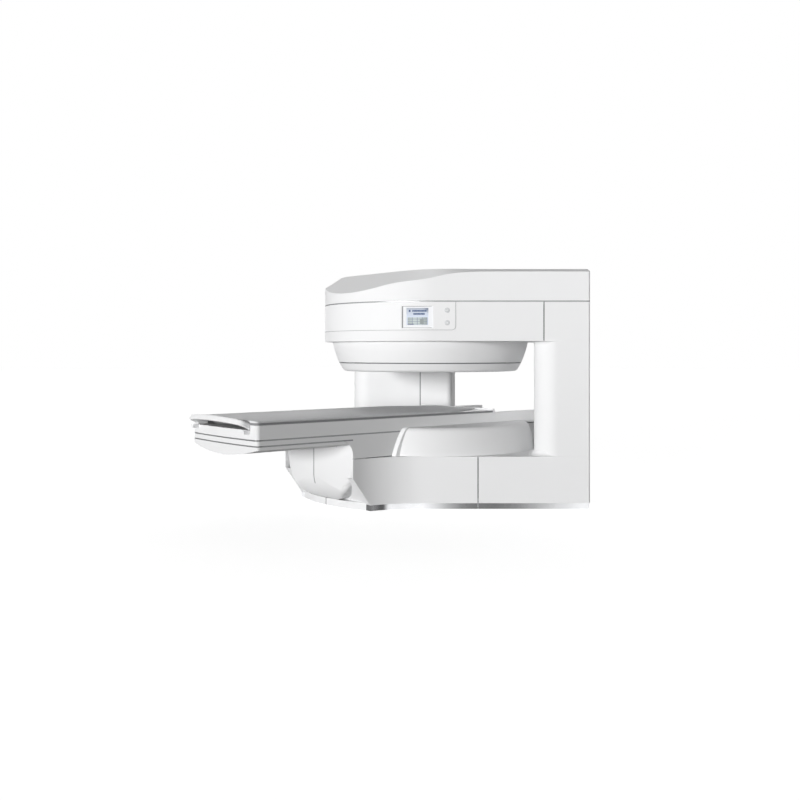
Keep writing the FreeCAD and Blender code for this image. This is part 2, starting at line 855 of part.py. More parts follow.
# ---------------------------------------------------------------- posts
def round_post(body, inset):
    """Rounds the two upright edges of a post that face the patient."""
    nose = arm(POST_FRONT + inset, inset - s.nose_radius)
    back = arm(POST_BACK + inset, s.arm_back - inset)
    round_edges(body, s.post_nose_rounding - inset,
                lambda point, edge: upright(edge) and near(point, *nose), "nose")
    return round_edges(body, s.post_back_rounding - inset,
                       lambda point, edge: upright(edge) and near(point, *back), "back")


def make_post_covers():
    """Each post's cover, in a front and a back piece that meet at an upright seam."""
    bottom = s.base_height + s.seat_gap
    top = SOFFIT - s.seat_gap
    shells = []
    for name, inset in (("post_outer", as_size(0)), ("post_inner", s.cover_wall)):
        body = round_post(prism(name, post_outline(inset), bottom, top), inset)
        if name == "post_outer":
            corner = arm(ARM_REACH, -s.nose_radius)
            round_edges(body, s.outer_rounding,
                        lambda point, edge: upright(edge) and near(point, *corner), "end")
        shells.append(body)
    shell = cut("post_shell", *shells)
    seam = -s.post_seam_across
    front_zone = prism(
        "post_front_zone", arm_region(0, FAR_OUT, -FAR_OUT, seam - s.seam / 2), 0, CROWN
    )
    back_zone = prism(
        "post_back_zone", arm_region(0, FAR_OUT, seam + s.seam / 2, FAR_OUT), 0, CROWN
    )
    both_sides("post_front_cover", common("near_post_front_cover", shell, front_zone))
    both_sides("post_back_cover", common("near_post_back_cover", shell, back_zone))


# ---------------------------------------------------------------- pole covers
def make_pole_covers():
    """Above: a cone and a face cover. Below: two crescents beside the table, each with an end trim."""
    wall = s.cover_wall
    ceiling, seam, top = CEILING, CEILING + s.pole_cover_lip, SOFFIT - s.seat_gap
    node(turned("upper_pole_cone_cover", [
        Corner(CONE_SEAM_RADIUS - wall, seam),
        Corner(CONE_SEAM_RADIUS, seam),
        Corner(CONE_TOP_RADIUS, top, radius=CONE_TOP_RADIUS),
        Corner(CONE_TOP_RADIUS - wall, top),
    ]))
    face = turned("upper_pole_face_cover", [
        Corner(0, ceiling),
        Corner(CONE_FACE_RADIUS, ceiling),
        Corner(CONE_SEAM_RADIUS - s.seam / 2, seam - s.seam),
        Corner(CONE_SEAM_RADIUS - s.seam / 2 - wall * 2, seam - s.seam),
        Corner(CONE_FACE_RADIUS - wall, ceiling + wall),
        Corner(0, ceiling + wall),
    ])
    radius = CONE_FACE_RADIUS.value
    round_edges(face, s.pole_cover_rounding, lambda point, edge: rim_edge(edge, radius, ceiling.value))
    node(face)

    crescent = crescent_body("crescent_outer", as_size(0), as_size(0))
    hollow = crescent_body("crescent_hollow", wall, as_size(0))
    shell = cut("crescent_shell", crescent, hollow)
    side = s.table_half_width + s.seam / 2
    beside = prism("beside_table", rectangle(-FAR_OUT, FAR_OUT, -FAR_OUT, -side), 0, CROWN)
    both_sides("pole_cover", common("near_pole_cover", shell, beside))

    lip = crescent_body("trim_outer", as_size(0), s.crescent_trim_reach)
    strip = rectangle(-FAR_OUT, -POLE_RADIUS, -side - s.crescent_trim_width, -side)
    slab = prism("trim_slab", strip, 0, CROWN)
    trim = common("trim_piece", lip, slab)
    clear = crescent_body("trim_clearance", as_size(0), s.seat_gap)
    pair("pole_cover_trims", cut("near_pole_cover_trim", trim, clear))


def rim_edge(edge, radius, height):
    """True for a full circle of about a given radius at a given height."""
    circle = isinstance(edge.Curve, Part.Circle)
    return circle and abs(edge.Curve.Radius - radius) < 0.5 and abs(edge.CenterOfMass.z - height) < 0.5


def crescent_body(name, inset, swell):
    """The low dome round the lower pole; swell makes its foot wider than its rim."""
    bottom = s.base_height + s.seat_gap
    top = CRESCENT_TOP - inset + swell * 0.1
    foot = CRESCENT_RADIUS - inset + swell
    rim = CRESCENT_RADIUS - s.crescent_rim_set_in - inset + swell * 0.3
    bulge = CRESCENT_RADIUS * 0.9
    body = turned(name, [
        Corner(0, bottom),
        Corner(foot, bottom),
        Corner(rim, top, radius=bulge),
        Corner(0, top),
    ])
    round_edges(body, s.crescent_rounding - inset, lambda point, edge: rim_edge(edge, rim.value, top.value))
    return body


# ---------------------------------------------------------------- base
def make_base(core):
    """Side covers in five pieces, a deck, kick plates below and the frame that carries them."""
    wall, gap, kick = s.cover_wall, s.seat_gap, s.kick_height
    foot = WAIST_FOOT
    outer = prism("base_outer", base_outline(0, foot), kick, s.base_height)
    round_edges(outer, s.outer_rounding, arm_corners)
    inner = prism("base_inner", base_outline(wall, foot + FAR_OUT), kick, s.base_height)
    low_end, high_end = slant(as_size(0))
    ahead = prism("ahead_of_slant", [
        Corner(-foot - wall, 0),
        Corner(low_end.x, 0),
        low_end,
        high_end,
        Corner(-foot - wall, high_end.y),
    ], -FAR_OUT, FAR_OUT, "XZ_Plane")
    ring = cut("base_ring", outer, inner, ahead)
    front, back, head = split_base_ring("base_cover", ring)
    both_sides("front_base_cover", front)
    both_sides("back_base_cover", back)
    node(head)

    start = s.plinth_bow - PLINTH_FRONT
    ahead = prism("ahead_of_kick", rectangle(-2 * FAR_OUT, start, -FAR_OUT, FAR_OUT), 0, CROWN)
    kick_outer = prism("kick_outer", base_outline(s.kick_inset, foot), 0, kick - gap)
    round_edges(kick_outer, s.outer_rounding, arm_corners)
    kick_inner = prism("kick_inner", base_outline(s.kick_inset + s.kick_sheet, FAR_OUT), 0, kick)
    round_edges(kick_inner, s.outer_rounding - s.kick_sheet, arm_corners)
    kick_ring = cut("kick_ring", kick_outer, kick_inner, ahead)
    front, back, head = split_base_ring("kick_plate", kick_ring)
    returned = prism("kick_return", rectangle(
        start, start + s.kick_sheet, -s.table_half_width, -PLINTH_HALF_WIDTH - gap
    ), 0, kick - gap)
    front = fused("near_kick_corner", front, returned)
    plates = [front, back, head]
    plates += [mirrored(f"far_{piece.Name}", piece) for piece in (front, back)]
    group("kick_plates", *plates)

    frame_outer = base_outline(wall + gap, foot)
    low, high = s.kick_sheet * 3, kick + s.iron_inset
    frame = prism("base_frame_outer", frame_outer, low, high)
    round_edges(frame, s.outer_rounding, arm_corners)
    hollow = prism("base_frame_inner", base_outline(s.iron_inset - gap, FAR_OUT), low, high)
    beside_plinth = prism("beside_plinth", rectangle(
        -2 * FAR_OUT, start + wall * 3, -FAR_OUT, FAR_OUT
    ), 0, CROWN)
    node(cut("base_cover_frame", frame, hollow, beside_plinth))

    deck = prism("deck_plate", base_outline(wall + gap, foot), s.base_height - wall, s.base_height)
    well = prism("deck_well", round_outline(POLE_RADIUS + s.iron_inset), 0, CROWN)
    inside = s.table_half_width
    bay = prism("deck_bay", rectangle(-FAR_OUT, -POLE_RADIUS, -inside, inside), 0, CROWN)
    node(cut("base_deck", deck, well, bay, core, doc.getObject("far_post_core")))


def split_base_ring(name, ring):
    """Cuts a ring round the base at its seams: near front, near back and head-end pieces."""
    tall = (0, CROWN)
    half = s.seam / 2
    seam = s.base_seam_along
    back = s.arm_back - 2 * s.outer_rounding
    front_zone = prism(f"{name}_front_zone", [
        Corner(*arm(seam - half, -FAR_OUT)),
        Corner(*arm(seam - half, -POLE_RADIUS)),
        Corner(-POLE_RADIUS, -s.seam),
        Corner(-2 * FAR_OUT, -s.seam),
        Corner(-2 * FAR_OUT, -FAR_OUT),
    ], *tall)
    back_corners = arm_region(seam + half, FAR_OUT, -FAR_OUT, back)
    back_zone = prism(f"{name}_back_zone", back_corners, *tall)
    keep_out = prism(f"{name}_keep_out", arm_region(-FAR_OUT, FAR_OUT, -FAR_OUT, back + s.seam), *tall)
    head = cut(f"{name}_head_rest", ring, keep_out, mirrored(f"{name}_far_keep_out", keep_out))
    head_zone = prism(
        f"{name}_head_zone", rectangle(POLE_RADIUS, FAR_OUT, -FAR_OUT, FAR_OUT), *tall
    )
    return [
        common(f"near_front_{name}", ring, front_zone),
        common(f"near_back_{name}", ring, back_zone),
        common(f"head_{name}", head, head_zone),
    ]


# ---------------------------------------------------------------- pedestal
def pedestal_space(name, inset, lift=0):
    """The pedestal's bowed end, whose front and sides curve in under it to a flat bottom."""
    front = PEDESTAL_FRONT - inset
    bow = s.pedestal_bow
    half = full_inside() - s.seat_gap - inset
    radius = (half * half + bow * bow) / (2 * bow)
    back = inset * 4 - PEDESTAL_BACK
    top, bottom = TRAY_SEAM - s.seam, s.plinth_height
    bend = s.flare_height
    plan = prism(f"{name}_plan", [
        Corner(bow - front, -half, radius=radius),
        Corner(back, -half),
        Corner(back, half),
        Corner(bow - front, half),
    ], bottom, top)
    toe = PEDESTAL_FRONT - PLINTH_FRONT
    fall = bend - bottom
    side = prism(f"{name}_side", [
        Corner(-front, bend),
        Corner(toe - front, bottom, radius=(toe * toe + fall * fall) / (2 * toe)),
        Corner(back, bottom),
        Corner(back, top),
        Corner(-front, top),
    ], -FAR_OUT, FAR_OUT, "XZ_Plane")
    flat, low, high = s.bowl_flat_half, bottom + lift, s.bowl_height + s.bowl_rounding
    step, fall = half - flat, high - low
    round_under = (step * step + fall * fall) / (2 * fall)
    face = prism(f"{name}_face", [
        Corner(-half, top),
        Corner(-half, high),
        Corner(-flat, low, radius=round_under),
        Corner(flat, low),
        Corner(half, high, radius=round_under),
        Corner(half, top),
    ], -2 * FAR_OUT, FAR_OUT, "YZ_Plane")
    sharp = common(f"{name}_sharp", common(f"{name}_block", plan, side), face)
    return rounded(name, sharp, s.pedestal_rounding - inset, lambda point, edge: (
        point.z < top.value - 1 and point.x < back.value - 1
        and (upright(edge) or not isinstance(edge.Curve, Part.Line))
    ))


def pedestal_gate(name, low):
    """Everything above the lower edge of the pedestal's end covers."""
    half, round_down = s.table_half_width, s.bowl_rounding
    return prism(name, [
        Corner(-half, CROWN),
        Corner(-half, low + round_down),
        Corner(round_down - half, low, radius=round_down),
        Corner(half - round_down, low),
        Corner(half, low + round_down, radius=round_down),
        Corner(half, CROWN),
    ], -2 * FAR_OUT, FAR_OUT, "YZ_Plane")


def make_pedestal():
    """The end of the pedestal in two halves over a bowl, on a plinth in two halves."""
    wall = s.cover_wall
    outer = pedestal_space("pedestal_outer", as_size(0))
    middle = pedestal_space("pedestal_middle", wall)
    gate = pedestal_gate("pedestal_gate", s.bowl_height)
    shell = cut("pedestal_shell", outer, middle)
    upper = common("pedestal_upper", shell, gate)
    trimmed = cut("pedestal_trimmed", upper, belly_space("belly_clearance", s.seat_gap))
    near_half = prism(
        "near_half", rectangle(-2 * FAR_OUT, FAR_OUT, -FAR_OUT, -s.seam / 2), 0, CROWN
    )
    both_sides("pedestal_end_cover", common("near_pedestal_end_cover", trimmed, near_half))

    front, bow, width = PLINTH_FRONT, s.plinth_bow, PLINTH_HALF_WIDTH
    inner = pedestal_space("pedestal_inner", wall * 2, wall)
    bowl = cut("bowl_shell", cut("bowl_block", middle, gate), inner)
    edge = slant(as_size(0)) + slant(wall)[::-1]
    strip = prism("wing_strip", edge, -full_inside(), full_inside(), "XZ_Plane")
    gap = s.seat_gap
    above_plinth = prism("above_plinth", rectangle(
        -2 * FAR_OUT, FAR_OUT, -width - gap, width + gap
    ), 0, s.plinth_height)
    covers = common(
        "end_cover_clearance",
        pedestal_space("end_cover_space", -gap), pedestal_gate("lower_gate", s.bowl_height - gap)
    )
    node(fused("pedestal_bowl", bowl, cut("bowl_wings", strip, middle, above_plinth, covers)))

    radius = (width * width + bow * bow) / (2 * bow)
    plinth_back = 6 * wall - PEDESTAL_BACK
    plinth = prism("plinth_block", [
        Corner(bow - front, -width, radius=radius),
        Corner(plinth_back, -width),
        Corner(plinth_back, width),
        Corner(bow - front, width),
    ], 0, s.plinth_height - s.seat_gap)
    pair("plinth_halves", common("near_plinth", plinth, near_half))

    front, half = plinth_back + s.seat_gap, s.column_half_width
    back, top = front + s.column_depth, BELLY_SIDE + wall
    shaft = prism("column_shaft", rectangle(front, back, -half, half), 0, top)
    arms = prism(
        "column_arms",
        rectangle(front, back, -full_inside(), full_inside()),
        top - s.table_beam_width, top,
    )
    node(fused("pedestal_column", shaft, arms))


def full_inside():
    """Half the clear width between the table's side panels."""
    return s.table_half_width - s.cover_wall - s.seat_gap


# ---------------------------------------------------------------- table
def belly_space(name, clearance):
    """The shape of the table's underside, run the length of its cantilever."""
    half = s.table_half_width
    side = BELLY_SIDE - clearance
    drop = s.belly_drop
    profile = [
        Corner(-half, RAIL_TOP),
        Corner(-half, side),
        Corner(half, side, radius=(half * half + drop * drop) / (2 * drop)),
        Corner(half, RAIL_TOP),
    ]
    return prism(name, profile, -2 * FAR_OUT, -POLE_RADIUS, "YZ_Plane")


def table_block(name, inset, bottom, top, head):
    body = prism(name, table_outline(inset, TABLE_FOOT, head), bottom, top)
    middle = -PEDESTAL_FRONT.value
    round_edges(body, s.table_corner - inset,
                lambda point, edge: upright(edge) and point.x < middle)
    return body


def side_silhouette(name, seam):
    """Side view of the table's side panels: a straight band that sweeps down to the base."""
    foot, edge_x, corner = TABLE_FOOT, WAIST_FOOT, s.side_corner
    return prism(name, [
        Corner(-foot - FAR_OUT, seam),
        Corner(-edge_x - corner, seam),
        Corner(-edge_x, seam - corner, radius=corner, turn=-1),
        Corner(-edge_x, s.base_height),
        Corner(FAR_OUT, s.base_height),
        Corner(FAR_OUT, RAIL_TOP),
        Corner(-foot - FAR_OUT, RAIL_TOP),
    ], -FAR_OUT, FAR_OUT, "XZ_Plane")


def make_table():
    """A tray with rails, side panels, a belly pan, two beams and a panel at the head end."""
    wall, gap = s.cover_wall, s.seat_gap
    half = s.table_half_width
    tray_block = table_block("tray_block", as_size(0), TRAY_SEAM, RAIL_TOP, TABLE_HEAD)
    rail = s.tray_rail
    trough = prism(
        "trough",
        rectangle(rail * 1.5 - TABLE_FOOT, TABLE_HEAD + rail, rail - half, half - rail),
        TRAY_FLOOR, CROWN,
    )
    well = prism(
        "handle_well_cut", rectangle(-2 * FAR_OUT, rail * 2 - TABLE_FOOT, rail - half, half - rail),
        WELL_FLOOR, CROWN,
    )
    node(cut("table_tray", tray_block, trough, well))

    head = HEAD_FACE - s.seam
    top = TRAY_SEAM - s.seam
    band = table_block("band_block", as_size(0), s.base_height + s.seam, top, head)
    hollow = table_block("band_hollow", wall, s.base_height + s.seam, top, head + FAR_OUT)
    skin = cut("band_skin", band, hollow)
    panels = common("side_panels", skin, side_silhouette("side_silhouette", BAND_SEAM + s.seam))
    pole_bay = prism("pole_bay", round_outline(POLE_RADIUS + gap), 0, LOWER_COIL_TOP + gap)
    clear = cut("side_panels_clear", panels, pole_bay)
    zone = prism(
        "near_side_zone", rectangle(-2 * FAR_OUT, FAR_OUT, -FAR_OUT, -gap / 2), 0, CROWN
    )
    both_sides("table_side_panel", common("near_table_side_panel", clear, zone))

    belly = table_block("belly_block", as_size(0), s.base_height, BAND_SEAM, -WAIST_FOOT)
    belly_outer = common("belly_outer", belly, belly_space("belly_space", as_size(0)))
    inner_belly = table_block(
        "belly_inner", wall, BELLY_SIDE + wall, RAIL_TOP, -WAIST_FOOT + FAR_OUT
    )
    beside_panels = common("panel_clearance", skin, side_silhouette("low_silhouette", BAND_SEAM))
    node(cut("belly_pan", belly_outer, inner_belly, beside_panels))

    inside = half - wall - gap
    beam_top = TRAY_SEAM - gap
    beam = prism("near_table_beam", rectangle(
        s.table_corner * 2 - TABLE_FOOT, -POLE_RADIUS - s.iron_inset, -inside, s.table_beam_width - inside
    ), BELLY_SIDE + wall + gap, beam_top)
    pair("table_beams", beam)
    panel = prism("head_wall", rectangle(
        head - wall * 2, head - wall, -inside, inside
    ), s.base_height, beam_top)
    ledge = prism("head_ledge", rectangle(
        POLE_RADIUS + s.iron_inset, head - wall, -inside, inside
    ), BAND_SEAM, beam_top)
    node(fused("head_end_panel", panel, ledge))


# ---------------------------------------------------------------- tabletop
def make_tabletop():
    """A long board with a mat, a keel that runs in the tray, a cap at one end and a handle at the other."""
    bottom = RAIL_TOP + s.tabletop_gap
    top = bottom + s.board_thickness
    half = s.table_half_width
    head = s.tabletop_length - TABLE_FOOT - s.end_cap_length
    board = table_block("tabletop_board", as_size(0), bottom, top, head)
    node(board)
    mat = prism("patient_mat", mat_outline(head - s.mat_inset), top, top + s.mat_thickness)
    middle = -PEDESTAL_FRONT.value
    round_edges(mat, s.table_corner - s.mat_inset,
                lambda point, edge: upright(edge) and point.x < middle)
    crest = (top + s.mat_thickness).value
    round_edges(mat, s.mat_thickness / 3,
                lambda point, edge: abs(point.z - crest) < 0.1, "edge")
    node(mat)
    cap = prism("tabletop_end_cap", rectangle(head + s.seat_gap, head + s.end_cap_length, -half, half),
                bottom, top + s.mat_thickness)
    reach = (head + s.end_cap_length).value
    round_edges(cap, s.end_cap_length / 2,
                lambda point, edge: abs(point.x - reach) < 0.1 and upright(edge))
    length = s.end_cap_length.value
    round_edges(cap, s.mat_thickness / 2,
                lambda point, edge: abs(point.z - crest) < 0.1 and point.x > reach - length / 2, "edge")
    node(cap)
    keel_bottom = TRAY_FLOOR + s.runner_height + s.keel_clearance
    width = s.keel_half_width
    node(prism("tabletop_keel", rectangle(
        s.tray_rail * 3 - TABLE_FOOT, s.iron_inset, -width, width
    ), keel_bottom, bottom))
    runner = prism("near_runner", rectangle(
        s.tray_rail * 2 - TABLE_FOOT, TABLE_HEAD - 1.5 * s.tray_rail, -width, s.tray_rail / 2 - width
    ), TRAY_FLOOR, TRAY_FLOOR + s.runner_height)
    pair("keel_runners", runner)

    clearance = table_block("handle_clearance", -s.seat_gap, bottom - s.seat_gap, SOFFIT, head)
    stem_bottom = WELL_FLOOR + s.handle_lift
    bar = handle_bar(stem_bottom + s.handle_height / 2)
    thick = s.handle_depth / 2
    stem = prism("near_handle_stem", rectangle(
        -TABLE_FOOT - s.handle_edge, s.handle_stem - TABLE_FOOT,
        -HANDLE_HALF_SPAN - thick, thick - HANDLE_HALF_SPAN,
    ), stem_bottom, bottom)
    grip = fused("handle_grip", bar, stem, mirrored("far_handle_stem", stem))
    node(cut("tabletop_handle", grip, clearance))
    start, width = -TABLE_FOOT - s.handle_rest_length, s.handle_rest_width / 2
    rest_outline = rectangle(start, 0, -HANDLE_HALF_SPAN - width, width - HANDLE_HALF_SPAN)
    rest_top = WELL_FLOOR
    block = prism("rest_block", rest_outline, rest_top - s.handle_rest_height, rest_top)
    pair("handle_rests", cut("near_handle_rest", block, doc.getObject("tray_block")))


def handle_bar(height):
    """A flat bar that bows out and up across the foot end of the tabletop, from the stems' outer ends."""
    names = ("handle_reach", "handle_rise", "handle_radius", "handle_corner", "handle_height",
             "handle_depth", "handle_edge")
    reach, rise, radius, corner, tall, deep, edge = (getattr(s, name).value for name in names)
    span = HANDLE_HALF_SPAN.value
    root = FreeCAD.Vector(-TABLE_FOOT.value, 0, height.value)
    outward = FreeCAD.Vector(-math.sqrt(reach**2 - rise**2), 0, rise) / reach
    side = FreeCAD.Vector(0, 1, 0)
    normal = outward.cross(side)

    def at(out, along):
        return root + outward * out + side * along

    centre = reach - radius
    corner_out = centre + math.sqrt((radius - corner) ** 2 - (span - corner) ** 2)
    lean = math.atan2(span - corner, corner_out - centre)
    join_out, join_along = centre + radius * math.cos(lean), radius * math.sin(lean)
    swing = (math.pi / 2 + lean) / 2
    middle = (corner_out + corner * math.cos(swing), span - corner + corner * math.sin(swing))
    path = Part.Wire([
        Part.LineSegment(at(0, -span), at(corner_out, -span)).toShape(),
        Part.Arc(at(corner_out, -span), at(middle[0], -middle[1]), at(join_out, -join_along)).toShape(),
        Part.Arc(at(join_out, -join_along), at(reach, 0), at(join_out, join_along)).toShape(),
        Part.Arc(at(join_out, join_along), at(*middle), at(corner_out, span)).toShape(),
        Part.LineSegment(at(corner_out, span), at(0, span)).toShape(),
    ])
    block = Part.makeBox(tall, deep, edge)
    block = block.makeFillet(edge, [each for each in block.Edges if upright(each)])
    face = next(each for each in block.Faces if abs(each.CenterOfMass.z) < edge / 10)
    section = face.OuterWire.translated(FreeCAD.Vector(-tall / 2, -deep / 2, 0))
    section.Placement = FreeCAD.Placement(FreeCAD.Matrix(
        normal.x, side.x, -outward.x, at(0, -span).x,
        normal.y, side.y, -outward.y, at(0, -span).y,
        normal.z, side.z, -outward.z, at(0, -span).z,
        0, 0, 0, 1,
    )).multiply(section.Placement)
    piece = doc.addObject("Part::Feature", "handle_bar")
    piece.Shape = path.makePipeShell([section], True, True)
    return piece


# ---------------------------------------------------------------- build and write
def main():
    near_core = make_magnet()
    doc.recompute()
    make_top_cap()
    nose_shell = make_yoke_covers(near_core)
    make_fascia(nose_shell)
    make_post_covers()
    make_pole_covers()
    make_base(near_core)
    make_pedestal()
    make_table()
    make_tabletop()
    doc.recompute()

    failed = [thing.Label for thing in doc.Objects if {"Invalid", "Error"} & set(thing.State)]
    for piece in NODES:
        if piece.Shape.isNull() or not piece.Shape.isValid() or not piece.Shape.Solids:
            failed.append(piece.Label)
    if failed:
        raise RuntimeError("not built: " + ", ".join(failed))
    os.makedirs("parts", exist_ok=True)
    for piece in NODES:
        piece.Shape.exportStep(os.path.join("parts", f"{piece.Label}.step"))
        box = piece.Shape.BoundBox
        print(f"{piece.Label}: {len(piece.Shape.Solids)} solid, {piece.Shape.Volume / 1e6:.2f} litres, "
              f"x {box.XMin:.0f}..{box.XMax:.0f} y {box.YMin:.0f}..{box.YMax:.0f} "
              f"z {box.ZMin:.0f}..{box.ZMax:.0f}")


main()
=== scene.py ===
"""Looks for an open magnet scanner, around its fixed CAD nodes.

They give the nodes their finishes and the display its picture. They add the padded patient mat with
its stitches, the rings round the keys, the sweeps round the posts and the cover screws, and they set
the camera and the studio.
"""

import json
import math

import bmesh
import bpy
from bpy.props import FloatProperty, FloatVectorProperty, IntProperty, PointerProperty
from mathutils import Matrix, Vector
from mathutils.bvhtree import BVHTree


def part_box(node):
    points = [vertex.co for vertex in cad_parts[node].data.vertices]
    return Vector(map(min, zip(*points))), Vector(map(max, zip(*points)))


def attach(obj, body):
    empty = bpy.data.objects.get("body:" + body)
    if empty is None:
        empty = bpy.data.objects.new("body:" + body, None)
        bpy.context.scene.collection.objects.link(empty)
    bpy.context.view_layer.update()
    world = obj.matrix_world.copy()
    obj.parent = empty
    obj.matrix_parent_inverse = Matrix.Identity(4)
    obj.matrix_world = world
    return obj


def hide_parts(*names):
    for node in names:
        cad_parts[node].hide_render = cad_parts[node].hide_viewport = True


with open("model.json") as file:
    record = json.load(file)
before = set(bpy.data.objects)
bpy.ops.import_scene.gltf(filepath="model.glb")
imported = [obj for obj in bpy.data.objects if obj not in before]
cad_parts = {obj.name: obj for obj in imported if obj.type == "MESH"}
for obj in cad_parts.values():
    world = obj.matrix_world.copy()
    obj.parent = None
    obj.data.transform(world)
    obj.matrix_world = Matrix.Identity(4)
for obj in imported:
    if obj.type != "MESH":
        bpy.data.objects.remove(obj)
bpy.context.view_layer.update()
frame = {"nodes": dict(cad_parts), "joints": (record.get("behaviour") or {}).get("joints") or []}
NODES = frame["nodes"]

bl_info = {
    "name": "Open scanner looks",
    "version": (1, 0, 0),
    "blender": (4, 5, 0),
    "location": "3D View > Sidebar > Scanner",
    "description": "Finishes, patient mat, sweeps, screws and studio for an open magnet scanner",
    "category": "Object",
}

MM = 0.001
SEAM_EDGE = 4.5 * MM  # from the middle of a seam to the end of the painted shade beside it
FASCIA_EDGE = 0.6 * SEAM_EDGE  # width of the painted shade inside the fascia's outline
FASCIA_ROUNDING = 30 * MM  # radius of the corner that this painted shade turns
CROWN_GLOSS, COVER_GLOSS, FASCIA_GLOSS = 0.0, 0.06, 0.12  # specular levels of the paint
PRESS = Vector(next(j for j in frame["joints"] if j["name"] == "upper_button_press")["axis"])
OUT = -PRESS.normalized()  # straight out of the control fascia
ALONG = Vector((-OUT.y, OUT.x, 0))  # level along the fascia, towards the near arm
X_AXIS, Y_AXIS, UP = Vector((1, 0, 0)), Vector((0, 1, 0)), Vector((0, 0, 1))
ORIGIN, WHITE = Vector(), (1, 1, 1)

YOKE_COVERS = ("nose_cover", "near_yoke_arm_cover", "far_yoke_arm_cover", "head_yoke_cover")
POLE_COVERS = ("upper_pole_cone_cover", "upper_pole_face_cover")
BASE_COVERS = (
    "near_front_base_cover", "far_front_base_cover", "near_back_base_cover", "far_back_base_cover",
    "head_base_cover",
)
TABLE_COVERS = ("table_tray", "near_table_side_panel", "far_table_side_panel", "belly_pan")
PEDESTAL_COVERS = ("near_pedestal_end_cover", "far_pedestal_end_cover", "plinth_halves")
POST_COVERS = (
    "near_post_front_cover", "far_post_front_cover", "near_post_back_cover", "far_post_back_cover",
)
OTHER_COVERS = (
    "soffit_panel", "near_pole_cover", "far_pole_cover", "base_deck", "head_end_panel",
    "pedestal_bowl",
)
TRIMS = ("pole_cover_trims", "handle_rests", "tabletop_end_cap")
IRON = (
    "lower_yoke_plate", "upper_yoke_plate", "near_post_core", "far_post_core",
    "lower_pole_plate", "upper_pole_plate", "pedestal_column",
)
MAGNETS = ("lower_magnet_block", "upper_magnet_block")
COILS = (
    "lower_gradient_coil", "upper_gradient_coil", "lower_receive_coil", "upper_receive_coil",
)
FRAMES = ("base_cover_frame", "yoke_cover_frame", "table_beams", "keel_runners")

CAMERA_PLACE, CAMERA_TURN = (-5.145, -5.868, 1.15), -39.43  # metres; degrees about Z, and level
SENSOR_WIDTH, FRAME_SHIFT = 36, -0.0599  # the shift lowers the frame and keeps uprights parallel
LAMPS = (  # name, the setting of its strength, its breadth in degrees, and where its light goes
    ("key_lamp", "key", 14, (0.95, 0.315, -0.055)),
    ("fill_lamp", "fill", 80, (-0.62, -0.5, -0.16)),
    ("top_lamp", "top", 60, (0.5, 0.1, -0.86)),
)
FLOOR_RADIUS = 60
HEAD_SCREWS = (-1, -1 / 3, 1 / 3, 1)  # across the head-end covers, as shares of the way out
PAN_SCREWS = (0.18, 0.42, 0.66, 0.9)  # along the belly pan, as shares of its length
PAN_SIDE = 0.8  # from the belly pan's middle to its screws, as a share of the way out


# ---------------------------------------------------------------- sizes and colours


def colour(name, description, default):
    return FloatVectorProperty(
        name=name, description=description, subtype="COLOR", size=3, min=0, max=1, default=default
    )


def length(name, description, default):
    return FloatProperty(
        name=name, description=description, default=default, min=0, subtype="DISTANCE", unit="LENGTH"
    )


def factor(name, description, default, most=1.0):
    return FloatProperty(
        name=name, description=description, default=default, min=0, max=most, subtype="FACTOR"
    )


def brightness(name, description, default):
    return FloatProperty(name=name, description=description, default=default, min=0)


class ScannerFinishes(bpy.types.PropertyGroup):
    """Colours of the covers, metals and tabletop."""

    cover: colour("Cover", "Satin paint of the moulded covers", (0.85, 0.852, 0.856))
    # painted shade: the dark edging beside the covers' seams and round the fascia, standing for the
    # shade in their gaps
    edge_shade: colour("Gasket", "Edging of the covers at their seams", (0.3, 0.303, 0.31))
    fascia: colour("Fascia", "Smooth paint of the control fascia", (0.86, 0.862, 0.866))
    trim: colour("Trim", "Matt moulded trims", (0.87, 0.873, 0.878))
    steel: colour("Steel", "Brushed kick plates", (0.6, 0.605, 0.615))
    iron: colour("Iron", "Painted yoke iron", (0.05, 0.053, 0.06))
    magnet: colour("Magnet", "Ground magnet blocks", (0.03, 0.03, 0.034))
    coil: colour("Coil", "Cast resin of the coils", (0.42, 0.35, 0.16))
    aluminium: colour("Aluminium", "Frames and beams", (0.62, 0.63, 0.64))
    board: colour("Board", "Laminate of the tabletop board", (0.26, 0.262, 0.27))
    mat: colour("Mat", "Coated cloth of the patient mat", (0.8, 0.803, 0.81))
    handle: colour("Handle", "Matt paint of the handle", (0.88, 0.883, 0.888))
    bezel: colour("Bezel", "Frame round the display", (0.78, 0.79, 0.81))
    key: colour("Key", "Face of the two keys", (0.78, 0.79, 0.8))
    key_ring: colour("Key ring", "Ring round each key", (0.5, 0.51, 0.53))


class ScannerDisplay(bpy.types.PropertyGroup):
    """The fields that the display shows."""

    paper: colour("Paper", "Ground of the picture", (0.68, 0.74, 0.86))
    title: colour("Title", "Bars and marker", (0.075, 0.13, 0.27))
    shadow: colour("Shadow", "Dark corner and rules", (0.2, 0.235, 0.32))
    table: colour("Table", "Ground of the lower grid", (0.5, 0.56, 0.55))
    glow: factor("Glow", "Light that the screen gives", 0.8, 2)


class ScannerMat(bpy.types.PropertyGroup):
    """Shape of the patient mat."""

    edge: length("Edge", "Radius of the mat's rounded edge", 6.5 * MM)
    rows: IntProperty(name="Rows", description="Quads along the mat", default=150, min=20)
    columns: IntProperty(name="Columns", description="Quads across the mat", default=44, min=8)
    swell: length("Swell", "Most that the filling may push the cover up", 2.2 * MM)
    seam_inset: length("Seam inset", "From the mat's edge to its seam", 17 * MM)
    stitch_pitch: length("Stitch pitch", "From stitch to stitch", 9 * MM)
    stitch_length: length("Stitch length", "Length of one stitch", 6 * MM)
    stitch_width: length("Stitch width", "Width of one stitch", 1.3 * MM)


